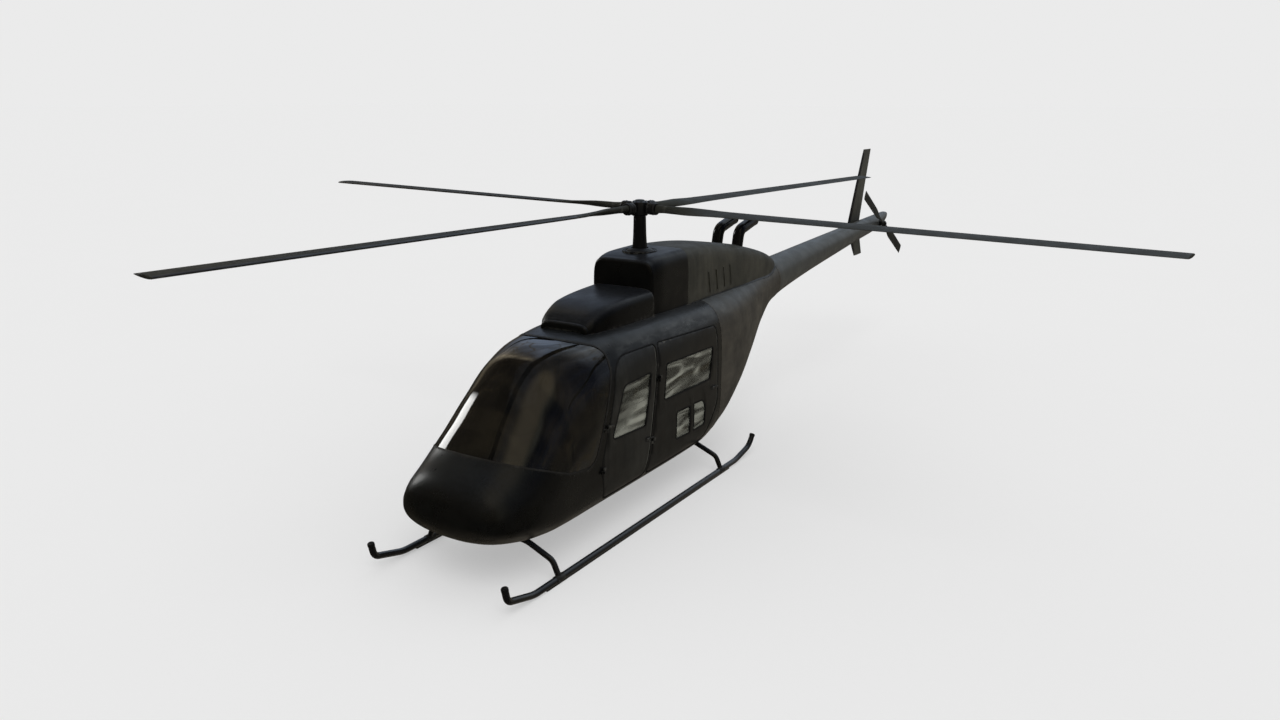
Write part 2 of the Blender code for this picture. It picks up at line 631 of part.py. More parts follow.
def build_door(row, corners, windows, paints, frame):
    """Door panel with its hinge leaves and its panes, on both sides."""
    name = f"door_{row}"
    panel = combine(cabin_wall(name), [door_blank("blank", corners)], "INTERSECT")
    combine(panel, [prism("window", rounded(window), 0.2, 0.9) for window in windows.values()], "DIFFERENCE")
    combine(panel, hinge_leaves(row, 1), "UNION")
    pieces = {"": (panel, "door")}
    for label, window in windows.items():
        pane = hull("pane", -1.75, BULKHEAD, 0.012)
        combine(pane, [hull("inside", -1.8, BULKHEAD + 0.1, 0.012 + GLASS)], "DIFFERENCE")
        trim = prism("trim", rounded(grown(window, [-SEAT_GAP] * len(window))), 0.30, 0.90)
        pieces[f"_{label}"] = (combine(pane, [trim], "INTERSECT"), "glass")
    for side, sign in (("port", 1), ("starboard", -1)):
        pivot = hinge_pivot(row, DOOR_HINGES[row]["line"][1])
        hinge = empty(f"{name}_{side}_hinge", (sign * HINGE_X, pivot.translation.y, pivot.translation.z),
                      frame, (-math.radians(HINGE_TILT), 0, 0))
        for label, (piece, finish) in pieces.items():
            copy = mirrored(piece, "copy")
            if sign > 0:
                copy.data.transform(Matrix.Scale(-1, 4, (1, 0, 0)))
                copy.data.flip_normals()
            copy.name = f"{name}_{side}{label}"
            install(copy, paints[finish], hinge)
    for piece, finish in pieces.values():
        bpy.data.objects.remove(piece)


def build_doors(paints, frame):
    build_door("front", FRONT_DOOR, {"window": FRONT_WINDOW}, paints, frame)
    panes = {"window": REAR_UPPER_WINDOW}
    panes.update({f"lower_{place}": corners for place, corners in REAR_LOWER_PANES.items()})
    build_door("rear", REAR_DOOR, panes, paints, frame)


# Rotors

def build_main_rotor(paints, frame):
    axis = empty("main_rotor_axis", (0, 0, ROTOR_HEIGHT), frame, (0, 0, math.radians(-ROTOR_AZIMUTH)))
    mast_profile = [(2.3004, 0.060), (2.440, 0.076), (2.520, 0.068), (2.620, 0.060), (2.800, 0.058)]
    centre = (0, 0, 0)
    install(turned("mast", mast_profile, (0, 0, 1), centre), paints["dark metal"], axis)
    hub = turned("rotor_hub", [(2.8004, 0.080), (2.820, 0.088), (2.930, 0.088), (2.950, 0.060)], (0, 0, 1), centre)
    arm = GRIP_START - SEAT_GAP
    half, low, high = 0.034, ROTOR_HEIGHT - 0.034, ROTOR_HEIGHT + 0.034
    bars = [box("bar", (-arm, -half, low), (arm, half, high)), box("bar", (-half, -arm, low), (half, arm, high))]
    combine(hub, bars, "UNION")
    hub.data.transform(Matrix.Rotation(math.radians(-ROTOR_AZIMUTH), 4, "Z"))
    install(hub, paints["dark metal"], axis)
    grip_profile = [(GRIP_START, 0.050), (0.135, 0.062), (0.185, 0.062), (0.200, 0.052), (0.270, 0.050),
                    (0.285, 0.058), (GRIP_END, 0.056)]
    for i in range(4):
        turn = Matrix.Translation((0, 0, ROTOR_HEIGHT)) @ Matrix.Rotation(
            math.radians(90 * i - ROTOR_AZIMUTH), 4, "Z")
        grip = turned(f"rotor_grip_{i + 1}", grip_profile, (1, 0, 0), centre, 14)
        blade = bladed(f"rotor_blade_{i + 1}", BLADE_SECTIONS)
        for piece, finish in ((grip, "dark metal"), (blade, "blade")):
            piece.data.transform(turn)
            install(piece, paints[finish], axis)


def build_tail_rotor(paints, frame):
    x, y, z = TAIL_ROTOR_HUB
    gearbox = turned("tail_gearbox", [(0.0, 0.070), (0.110, 0.062), (0.120, 0.050), (0.150, 0.030)],
                     (1, 0, 0), (0, y, z), 20)
    install(combine(gearbox, [boom_jacket("jacket")], "DIFFERENCE"), paints["dark metal"], frame)
    axis = empty("tail_rotor_axis", TAIL_ROTOR_HUB, frame)
    hub = turned("tail_rotor_hub", [(0.1504, 0.030), (0.157, 0.045), (0.205, 0.045), (0.220, 0.030)],
                 (1, 0, 0), (0, y, z), 20)
    install(hub, paints["dark metal"], axis)
    for i in range(2):
        blade = bladed(f"tail_rotor_blade_{i + 1}", TAIL_BLADE_SECTIONS)
        lay = Matrix.Rotation(math.radians(TAIL_ROTOR_TILT + 180 * i), 4, "X") @ Matrix.Rotation(
            math.radians(90), 4, "Z")
        stand = Matrix.Rotation(math.radians(90), 4, "X")
        blade.data.transform(Matrix.Translation(TAIL_ROTOR_HUB) @ lay @ stand)
        install(blade, paints["blade"], axis)


def make_paints():
    return {
        "body": paint("body paint", (0.030, 0.031, 0.032), 0.35),
        "door": paint("door paint", (0.022, 0.023, 0.024), 0.40),
        "gear": paint("gear paint", (0.012, 0.012, 0.013), 0.25),
        "dark metal": paint("dark metal", (0.025, 0.025, 0.027), 0.35, 0.8),
        "bare metal": paint("bare metal", (0.35, 0.35, 0.36), 0.45, 1.0),
        "blade": paint("blade paint", (0.050, 0.050, 0.044), 0.45),
        "glass": paint("tinted glass", (0.02, 0.022, 0.026), 0.05, 0.0, 0.5),
        "trim": paint("cabin trim", (0.030, 0.030, 0.032), 0.7),
        "seat": paint("seat cloth", (0.05, 0.05, 0.052), 0.9),
    }


def main():
    for old in list(bpy.data.objects):
        bpy.data.objects.remove(old)
    paints = make_paints()
    frame = empty("station_frame", (0, MAST_Y, 0))
    for build in (build_cabin, build_tail, build_fin, build_cowlings, build_exhausts, build_blocks,
                  build_gear, build_fittings, build_doors, build_main_rotor, build_tail_rotor):
        build(paints, frame)
    bpy.context.view_layer.update()


main()
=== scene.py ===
import json
import math
from collections import namedtuple

import bmesh
import bpy
import numpy as np
from mathutils import Matrix, Vector
from mathutils.bvhtree import BVHTree


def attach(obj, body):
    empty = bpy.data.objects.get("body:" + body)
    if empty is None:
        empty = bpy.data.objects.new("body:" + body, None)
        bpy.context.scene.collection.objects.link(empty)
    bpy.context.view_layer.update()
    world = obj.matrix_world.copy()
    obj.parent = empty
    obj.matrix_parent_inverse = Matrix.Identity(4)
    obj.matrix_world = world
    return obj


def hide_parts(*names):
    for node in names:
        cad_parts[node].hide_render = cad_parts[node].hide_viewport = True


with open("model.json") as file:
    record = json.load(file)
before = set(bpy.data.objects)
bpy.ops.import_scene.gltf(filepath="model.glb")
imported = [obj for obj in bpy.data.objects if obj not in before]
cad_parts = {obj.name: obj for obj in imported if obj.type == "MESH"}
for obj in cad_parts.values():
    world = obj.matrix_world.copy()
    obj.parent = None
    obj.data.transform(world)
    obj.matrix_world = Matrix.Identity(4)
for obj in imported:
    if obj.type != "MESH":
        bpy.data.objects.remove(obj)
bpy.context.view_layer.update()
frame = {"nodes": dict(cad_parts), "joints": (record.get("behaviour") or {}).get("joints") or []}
joints = {joint["name"]: joint for joint in frame["joints"]}
mastY = joints["main_rotor_turn"]["pos_m"][1]
print("frame:", len(frame["nodes"]), "nodes")

Section = namedtuple("Section", "y low high halfWidth widest topPower bottomPower")
Corner = namedtuple("Corner", "y z radius")


def rows(kind, *values):
    return [kind(*value) for value in values]


# Shape helpers

def curveThrough(xs, ys, wanted):
    # smooth curve through the points that never overshoots them
    xs, ys = np.asarray(xs, float), np.asarray(ys, float)
    step = np.diff(xs)
    slope = np.diff(ys) / step
    tangent = np.concatenate([[slope[0]], np.zeros(len(xs) - 2), [slope[-1]]])
    for i in range(1, len(xs) - 1):
        if slope[i - 1] * slope[i] > 0:
            before, after = 2 * step[i] + step[i - 1], step[i] + 2 * step[i - 1]
            tangent[i] = (before + after) / (before / slope[i - 1] + after / slope[i])
    i = np.clip(np.searchsorted(xs, wanted) - 1, 0, len(xs) - 2)
    t = (wanted - xs[i]) / step[i]
    return ((1 + 2 * t) * (1 - t) ** 2 * ys[i] + t * (1 - t) ** 2 * step[i] * tangent[i]
            + t * t * (3 - 2 * t) * ys[i + 1] + t * t * (t - 1) * step[i] * tangent[i + 1])


def sectionsAt(table, stations):
    stations = np.clip(stations, table[0].y, table[-1].y)
    columns = list(zip(*table))
    values = [curveThrough(columns[0], column, stations) for column in columns[1:]]
    return [Section(*row) for row in zip(stations, *values)]


def ringPoints(section, count, inset=0.0, floor=None):
    # two half superellipses that meet at the widest height
    angles = np.linspace(-math.pi / 2, 1.5 * math.pi, count, endpoint=False)
    c, s = np.cos(angles), np.sin(angles)
    power = np.where(s > 0, section.topPower, section.bottomPower)
    height = np.where(s > 0, section.high - section.widest, section.widest - section.low)
    x = section.halfWidth * np.sign(c) * np.abs(c) ** (2 / power)
    z = section.widest + height * np.sign(s) * np.abs(s) ** (2 / power)
    x[np.abs(c) < 1e-9] = 0.0
    if inset:
        dx, dz = np.roll(x, -1) - np.roll(x, 1), np.roll(z, -1) - np.roll(z, 1)
        length = np.hypot(dx, dz)
        x, z = x - inset * dz / length, z + inset * dx / length
    if floor is not None:
        z = np.maximum(z, floor)
    return [(px, section.y, pz) for px, pz in zip(x, z)]


def turnOf(degrees, axis):
    return Matrix.Rotation(math.radians(degrees), 4, axis)


def linked(name, mesh):
    piece = bpy.data.objects.new(name, mesh)
    bpy.context.scene.collection.objects.link(piece)
    return piece


def skinned(name, rings, loop=False):
    # closed skin over equal rings of points, capped unless the rings make a loop
    count, total = len(rings[0]), len(rings)
    faces = []
    for r in range(total if loop else total - 1):
        a, b = r * count, (r + 1) % total * count
        faces += [(a + i, a + (i + 1) % count, b + (i + 1) % count, b + i) for i in range(count)]
    if not loop:
        faces += [tuple(range(count)), tuple(reversed(range((total - 1) * count, total * count)))]
    mesh = bpy.data.meshes.new(name)
    mesh.from_pydata([tuple(p) for ring in rings for p in ring], [], faces)
    work = bmesh.new()
    work.from_mesh(mesh)
    bmesh.ops.recalc_face_normals(work, faces=work.faces)
    work.to_mesh(mesh)
    work.free()
    return linked(name, mesh)


def shrunk(section, y, amount, keepBottom=True):
    low = section.low if keepBottom else section.low + amount
    return section._replace(y=y, low=low, high=section.high - amount, halfWidth=section.halfWidth - amount)


def lofted(name, table, start, end, spacing, count, inset=0.0, floor=None, roundStart=0.0, roundEnd=0.0,
           keepBottom=True):
    stations = np.linspace(start + roundStart, end - roundEnd,
                           max(2, round((end - start - roundStart - roundEnd) / spacing) + 1))
    sections = sectionsAt(table, stations)
    turns = np.radians(np.linspace(0, 90, 9)[:-1])
    if roundStart:
        front = [shrunk(sections[0], start + roundStart * (1 - math.sin(a)), roundStart * (1 - math.cos(a)),
                        keepBottom) for a in reversed(turns[1:])]
        last = shrunk(sections[0], start, roundStart, keepBottom)
        sections = [last] + front + sections
    if roundEnd:
        back = [shrunk(sections[-1], end - roundEnd * (1 - math.sin(a)), roundEnd * (1 - math.cos(a)),
                       keepBottom) for a in turns[1:]]
        sections = sections + back + [shrunk(sections[-1], end, roundEnd, keepBottom)]
    return skinned(name, [ringPoints(section, count, inset, floor) for section in sections])


def rounded(corners, steps=10, closed=True):
    # outline points of corners, each turned in an arc of its radius
    points = []
    last = len(corners) - 1
    for i, corner in enumerate(corners):
        here = Vector((corner.y, corner.z))
        if corner.radius == 0 or (not closed and i in (0, last)):
            points.append(here)
            continue
        before = (Vector(corners[i - 1][:2]) - here).normalized()
        after = (Vector(corners[(i + 1) % len(corners)][:2]) - here).normalized()
        half = before.angle(after) / 2
        reach = corner.radius / math.tan(half)
        middle = here + (before + after).normalized() * corner.radius / math.sin(half)
        start, end = here + before * reach - middle, here + after * reach - middle
        turn = start.angle_signed(end)
        points += [middle + Matrix.Rotation(-turn * k / steps, 2) @ start for k in range(steps + 1)]
    return points


def grown(corners, margins):
    # the outline with each edge, from its corner to the next, moved out by its margin
    count = len(corners)
    margins = margins if isinstance(margins, (list, tuple)) else [margins] * count
    points = [Vector(corner[:2]) for corner in corners]
    area = sum(points[i - 1].cross(points[i]) for i in range(count))
    lines = []
    for i in range(count):
        along = (points[(i + 1) % count] - points[i]).normalized()
        outward = Vector((along.y, -along.x)) * (1 if area > 0 else -1)
        lines.append((points[i] + outward * margins[i], along))
    result = []
    for i in range(count):
        (a, u), (b, v) = lines[i - 1], lines[i]
        meet = a + u * ((b - a).cross(v) / u.cross(v))
        radius = corners[i].radius
        result.append(Corner(meet.x, meet.y, radius and max(0.004, radius + min(margins[i - 1], margins[i]))))
    return result


def prism(name, outline, lowX, highX):
    return skinned(name, [[(x, p[0], p[1]) for p in outline] for x in (lowX, highX)])


def box(name, low, high):
    outline = ((low[1], low[2]), (high[1], low[2]), (high[1], high[2]), (low[1], high[2]))
    return prism(name, outline, low[0], high[0])


def boxAt(name, corners, x=0.0, y=0.0):
    # a box given by its low and high corner, moved
    return box(name, *[(a + x, b + y, c) for a, b, c in corners])


def turned(name, profile, axis=(0, 0, 1), centre=(0, 0, 0), count=48):
    # round piece: profile rows are distance along the axis and radius
    turn = Vector((0, 0, 1)).rotation_difference(Vector(axis)).to_matrix()
    centre = Vector(centre)
    angles = np.linspace(0, 2 * math.pi, count, endpoint=False)
    return skinned(name, [[centre + turn @ Vector((radius * math.cos(a), radius * math.sin(a), along))
                           for a in angles] for along, radius in profile])


def swept(name, path, side, radius, count=24, loop=False, flat=1.0):
    # bar along a path that lies in a plane facing side; radius may be a list
    side = Vector(side).normalized()
    path = [Vector(p) for p in path]
    last = len(path) - 1
    rings = []
    for i, point in enumerate(path):
        if loop:
            tangent = (path[(i + 1) % len(path)] - path[i - 1]).normalized()
        else:
            tangent = (path[min(i + 1, last)] - path[max(i - 1, 0)]).normalized()
        across = side.cross(tangent).normalized()
        r = radius[i] if isinstance(radius, (list, tuple, np.ndarray)) else radius
        rings.append([point + r * (math.cos(a) * side * flat + math.sin(a) * across)
                      for a in np.linspace(0, 2 * math.pi, count, endpoint=False)])
    return skinned(name, rings, loop)


def evenly(path, spacing, loop=False):
    # points along a path at even distances
    points = [Vector(p) for p in path] + ([Vector(path[0])] if loop else [])
    distance = np.concatenate([[0], np.cumsum([(b - a).length for a, b in zip(points, points[1:])])])
    count = max(2, round(distance[-1] / spacing) + 1)
    wanted = np.linspace(0, distance[-1], count)
    columns = [np.interp(wanted, distance, [p[k] for p in points]) for k in range(len(points[0]))]
    result = [Vector(row) for row in zip(*columns)]
    return result[:-1] if loop else result


def baked(piece):
    # the piece's modifiers taken into its mesh
    bpy.context.view_layer.update()
    mesh = bpy.data.meshes.new_from_object(piece.evaluated_get(bpy.context.evaluated_depsgraph_get()))
    piece.modifiers.clear()
    piece.data = mesh
    return piece


def carve(piece, tools, operation="DIFFERENCE"):
    # cut, join or trim a piece with others, which are used up
    for tool in tools:
        modifier = piece.modifiers.new("carve", "BOOLEAN")
        modifier.object = tool
        modifier.operation = operation
        modifier.solver = "MANIFOLD"
        baked(piece)
        bpy.data.objects.remove(tool)
    return piece


def mirroredPiece(piece, name):
    mesh = piece.data.copy()
    mesh.transform(Matrix.Scale(-1, 4, (1, 0, 0)))
    mesh.flip_normals()
    return linked(name, mesh)


def joined(name, pieces):
    # several closed shells as one mesh, their materials kept
    work = bmesh.new()
    materials = []
    for piece in pieces:
        part = bmesh.new()
        part.from_mesh(piece.data)
        for face in part.faces:
            if piece.data.materials:
                material = piece.data.materials[face.material_index]
                if material not in materials:
                    materials.append(material)
                face.material_index = materials.index(material)
        holder = bpy.data.meshes.new("part")
        part.to_mesh(holder)
        work.from_mesh(holder)
        part.free()
        bpy.data.meshes.remove(holder)
        bpy.data.objects.remove(piece)
    mesh = bpy.data.meshes.new(name)
    work.to_mesh(mesh)
    work.free()
    for material in materials:
        mesh.materials.append(material)
    return linked(name, mesh)


def softEdges(piece, width, segments=2, angle=35):
    modifier = piece.modifiers.new("soft", "BEVEL")
    modifier.width = width
    modifier.segments = segments
    modifier.limit_method = "ANGLE"
    modifier.angle_limit = math.radians(angle)
    return baked(piece)


def painted(piece, look):
    # look is the name of a finish, from the dictionary below
    piece.data.materials.clear()
    piece.data.materials.append(finish[look])
    return piece


def finished(piece, body, replaces=(), smooth=32, look=None):
    # carry a piece from stations to the frame, shade it and let it ride on its body
    if look is not None:
        painted(piece, look)
    piece.data.transform(Matrix.Translation((0, mastY, 0)))
    piece.data.shade_smooth()
    piece.data.set_sharp_from_angle(angle=math.radians(smooth))
    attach(piece, body)
    if replaces:
        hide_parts(*replaces)
    return piece


# Materials

def wired(tree, node, wires):
    # a socket is linked to the input, anything else becomes its value
    for key, value in wires.items():
        if isinstance(value, bpy.types.NodeSocket):
            tree.links.new(value, node.inputs[key])
        else:
            node.inputs[key].default_value = value
    return node


def nodeOf(tree, kind, wires=None, **settings):
    node = tree.nodes.new(kind)
    for key, value in settings.items():
        setattr(node, key, value)
    return wired(tree, node, wires or {})


def add(tree, kind, wires=None, **settings):
    return nodeOf(tree, "ShaderNode" + kind, wires, **settings)


def placeOf(tree, scale=(1, 1, 1), turn=(0, 0, 0), source="Object"):
    coordinates = add(tree, "TexCoord").outputs[source]
    return add(tree, "Mapping", {"Vector": coordinates, "Scale": scale, "Rotation": turn}).outputs[0]


def noise(tree, vector, scale, detail=4.0, roughness=0.55, distortion=0.0):
    return add(tree, "TexNoise", {"Vector": vector, "Scale": scale, "Detail": detail, "Roughness": roughness,
                                  "Distortion": distortion}).outputs[0]


def spread(tree, value, low, high, newLow=0.0, newHigh=1.0):
    return add(tree, "MapRange", {"Value": value, "From Min": low, "From Max": high, "To Min": newLow,
                                  "To Max": newHigh}, interpolation_type="SMOOTHSTEP").outputs[0]


def combined(tree, operation, a, b, clamp=False):
    return add(tree, "Math", {0: a, 1: b}, operation=operation, use_clamp=clamp).outputs[0]


def times(tree, a, b):
    return combined(tree, "MULTIPLY", a, b)


def mixed(tree, share, a, b, mode="MIX"):
    # sockets 0, 6 and 7 are the share and the two colours
    return add(tree, "Mix", {0: share, 6: a, 7: b}, data_type="RGBA", blend_type=mode).outputs[2]


def colour(red, green, blue):
    # a screen colour, 0 to 255, as the shader's linear one
    values = [v / 255 for v in (red, green, blue)]
    return (*[v / 12.92 if v <= 0.04045 else ((v + 0.055) / 1.055) ** 2.4 for v in values], 1.0)


def started(name):
    material = bpy.data.materials.new(name)
    material.use_nodes = True
    return material, material.node_tree, material.node_tree.nodes["Principled BSDF"]


def dented(tree, shader, layers):
    # several heights, each with its strength and distance, one after another
    normal = None
    for height, strength, distance in layers:
        wires = {"Height": height, "Strength": strength, "Distance": distance}
        if normal is not None:
            wires["Normal"] = normal
        normal = add(tree, "Bump", wires).outputs[0]
    tree.links.new(normal, shader.inputs["Normal"])


def paintFinish(name, base, patch, top, paintedBounceShade, rough=(0.28, 0.5), coat=0.25, patchScale=2.2, streaks="y",
                wearShare=0.5, ridge=None, paintedLitUpper=None, streakStrength=0.22, specular=0.5):
    # worn paint: patches, flow streaks, painted sky light on faces turned up, painted floor bounce light and
    # shade on faces turned down, rubbed edges
    base, patch, top, paintedBounceShade, wear = (colour(*tone) for tone in (base, patch, top, paintedBounceShade, (92, 90, 84)))
    material, tree, shader = started(name)
    place = placeOf(tree)
    mottling = spread(tree, noise(tree, place, patchScale, 6.0, 0.62), 0.36, 0.66)
    tone = mixed(tree, mottling, base, patch)
    stretch = {"y": (9, 0.7, 9), "z": (16, 16, 0.8), "x": (0.7, 9, 9)}[streaks]
    streak = spread(tree, noise(tree, placeOf(tree, stretch), 1.6, 5.0, 0.6), 0.35, 0.7)
    tone = mixed(tree, times(tree, streak, streakStrength), tone, (0, 0, 0, 1))
    facing = add(tree, "SeparateXYZ", {0: add(tree, "NewGeometry").outputs["Normal"]}).outputs[2]
    grain = noise(tree, place, 34.0, 5.0, 0.65)
    # painted light: faces turned up take the top colour as painted sky light, broken by a grain; faces turned
    # down take the under colour, painted floor bounce light where it is lighter than the paint and painted
    # shade where darker
    paintedSkyLightMask = times(tree, spread(tree, facing, 0.25, 0.95), spread(tree, grain, 0.25, 0.7, 0.45, 1.0))
    paintedBounceShadeMask = times(tree, spread(tree, facing, -0.05, -0.75), spread(tree, mottling, 0, 1, 0.55, 1))
    tone = mixed(tree, paintedSkyLightMask, tone, top)
    tone = mixed(tree, paintedBounceShadeMask, tone, paintedBounceShade)
    if paintedLitUpper is not None:
        # painted light: a lighter second colour over the upper side, above a line that climbs aft
        spot = add(tree, "SeparateXYZ", {0: place})
        climb = times(tree, spot.outputs[1], paintedLitUpper["slope"])
        line = combined(tree, "SUBTRACT", spot.outputs[2], climb)
        upper = spread(tree, line, paintedLitUpper["height"] - 0.006, paintedLitUpper["height"] + 0.006)
        tone = mixed(tree, times(tree, upper, paintedLitUpper["share"]), tone, colour(*paintedLitUpper["colour"]))
    if ridge is not None:
        # pale patches along the shoulder
        spot = add(tree, "SeparateXYZ", {0: place})
        side = add(tree, "Math", {0: spot.outputs[0]}, operation="ABSOLUTE").outputs[0]
        out = spread(tree, side, ridge["x"] - 0.10, ridge["x"])
        up = times(tree, spread(tree, spot.outputs[2], ridge["z"] - 0.14, ridge["z"]),
                   spread(tree, spot.outputs[2], ridge["z"] + 0.14, ridge["z"] + 0.03))
        shoulderPatches = spread(tree, noise(tree, placeOf(tree, (5, 2.2, 5)), 2.2, 7.0, 0.68), 0.44, 0.66)
        patchy = times(tree, times(tree, out, up), shoulderPatches)
        tone = mixed(tree, times(tree, patchy, ridge["share"]), tone, colour(*ridge["colour"]))
    hair = noise(tree, placeOf(tree, (3, 40, 60), (0.3, 0.2, 0.5)), 3.0, 8.0, 0.7)
    scratches = spread(tree, hair, 0.66, 0.78)
    edges = spread(tree, add(tree, "NewGeometry").outputs["Pointiness"], 0.525, 0.60)
    rubbed = times(tree, edges, spread(tree, noise(tree, place, 16.0, 6.0, 0.7), 0.42, 0.62))
    marks = combined(tree, "MAXIMUM", rubbed, times(tree, scratches, 0.35))
    tone = mixed(tree, times(tree, marks, wearShare), tone, wear)
    blotch = combined(tree, "ADD", noise(tree, place, 5.5, 6.0, 0.6), times(tree, paintedSkyLightMask, 0.15))
    wired(tree, shader, {"Base Color": tone, "Roughness": spread(tree, blotch, 0.3, 0.8, *rough),
                         "Coat Weight": coat, "Coat Roughness": 0.12, "Specular IOR Level": specular})
    dented(tree, shader, [(noise(tree, place, 3.2, 2.0, 0.4), 0.20, 0.02), (grain, 0.05, 0.002)])
    return material


def metalFinish(name, tone, dark, rough=(0.25, 0.45), metallic=1.0, brushing=(60, 60, 4), oil=0.4):
    tone, dark = colour(*tone), colour(*dark)
    material, tree, shader = started(name)
    place = placeOf(tree)
    brush = noise(tree, placeOf(tree, brushing), 2.0, 6.0, 0.6)
    stain = spread(tree, noise(tree, place, 7.0, 6.0, 0.65), 0.4, 0.68)
    base = mixed(tree, times(tree, stain, oil), tone, dark)
    base = mixed(tree, spread(tree, brush, 0.3, 0.7, 0.0, 0.25), base, dark)
    edges = spread(tree, add(tree, "NewGeometry").outputs["Pointiness"], 0.53, 0.62)
    base = mixed(tree, times(tree, edges, 0.4), base, colour(120, 118, 112))
    patchy = spread(tree, combined(tree, "ADD", brush, stain), 0.4, 1.4, *rough)
    wired(tree, shader, {"Base Color": base, "Roughness": patchy, "Metallic": metallic})
    dented(tree, shader, [(brush, 0.08, 0.001)])
    return material


def glassFinish(name, tint, dustAndPaintedReflection, seeThrough, dustAndReflectionShare=0.3, streaks=(14, 14, 0.9), rough=(0.02, 0.10),
                detail=3.0, coat=0.6):
    # tinted acrylic: wiped streaks and a pale film that is partly dust and partly a painted reflection
    tint, dustAndPaintedReflection = colour(*tint), colour(*dustAndPaintedReflection)
    material, tree, shader = started(name)
    place = placeOf(tree)
    smear = noise(tree, placeOf(tree, streaks, (0.1, 0.25, 0.0)), 1.3, detail, 0.5, 0.9)
    filmPatches = spread(tree, noise(tree, place, 2.6, 2.0, 0.5), 0.3, 0.65, 0.35, 1.0)
    film = times(tree, spread(tree, smear, 0.38, 0.64), filmPatches)
    wired(tree, shader, {
        "Base Color": mixed(tree, times(tree, film, dustAndReflectionShare), tint, dustAndPaintedReflection),
        "Roughness": spread(tree, film, 0.0, 1.0, *rough),
        "Alpha": spread(tree, film, 0.0, 1.0, 1.0 - seeThrough, 1.0 - 0.6 * seeThrough),
        "Coat Weight": coat, "Coat Roughness": 0.02})
    dented(tree, shader, [(noise(tree, place, 1.7, 2.0, 0.4), 0.10, 0.01)])
    return material


def rubberFinish(name, tone, pale):
    tone, pale = colour(*tone), colour(*pale)
    material, tree, shader = started(name)
    place = placeOf(tree)
    grain = noise(tree, place, 220.0, 3.0, 0.6)
    bloom = spread(tree, noise(tree, place, 9.0, 6.0, 0.6), 0.45, 0.75)
    wired(tree, shader, {"Base Color": mixed(tree, times(tree, bloom, 0.35), tone, pale),
                         "Roughness": spread(tree, grain, 0.2, 0.8, 0.45, 0.75)})
    dented(tree, shader, [(grain, 0.15, 0.0008)])
    return material


def clothFinish(name, tone, thread, weave=420.0):
    # twill: two crossed sets of threads, with pilling and faded areas
    tone, thread = colour(*tone), colour(*thread)
    material, tree, shader = started(name)
    sets = []
    for turn, direction in (((0, 0, 0.785), "X"), ((0.785, 0, 0), "Z")):
        wires = {"Vector": placeOf(tree, (1, 1, 1), turn), "Scale": weave / 6.3, "Distortion": 0.6,
                 "Detail": 2.0}
        sets.append(add(tree, "TexWave", wires, bands_direction=direction).outputs[0])
    threads = combined(tree, "MAXIMUM", *sets)
    faded = spread(tree, noise(tree, placeOf(tree), 6.0, 6.0, 0.6), 0.35, 0.7)
    base = mixed(tree, times(tree, threads, 0.6), tone, thread)
    base = mixed(tree, times(tree, faded, 0.35), base, thread)
    wired(tree, shader, {"Base Color": base, "Roughness": spread(tree, threads, 0, 1, 0.95, 0.72),
                         "Sheen Weight": 0.35, "Sheen Roughness": 0.5})
    dented(tree, shader, [(threads, 0.35, 0.0006), (noise(tree, placeOf(tree), 60.0, 4.0, 0.6), 0.2, 0.002)])
    return material


def trimFinish(name, tone, pale, rough=(0.5, 0.75), pebble=500.0):
    # grained cabin plastic and vinyl
    tone, pale = colour(*tone), colour(*pale)
    material, tree, shader = started(name)
    place = placeOf(tree)
    cells = add(tree, "TexVoronoi", {"Vector": place, "Scale": pebble}, feature="F1").outputs[0]
    rubbed = spread(tree, noise(tree, place, 5.0, 6.0, 0.65), 0.4, 0.7)
    wired(tree, shader, {"Base Color": mixed(tree, times(tree, rubbed, 0.4), tone, pale),
                         "Roughness": spread(tree, rubbed, 0, 1, *rough)})
    dented(tree, shader, [(cells, 0.25, 0.0006)])
    return material


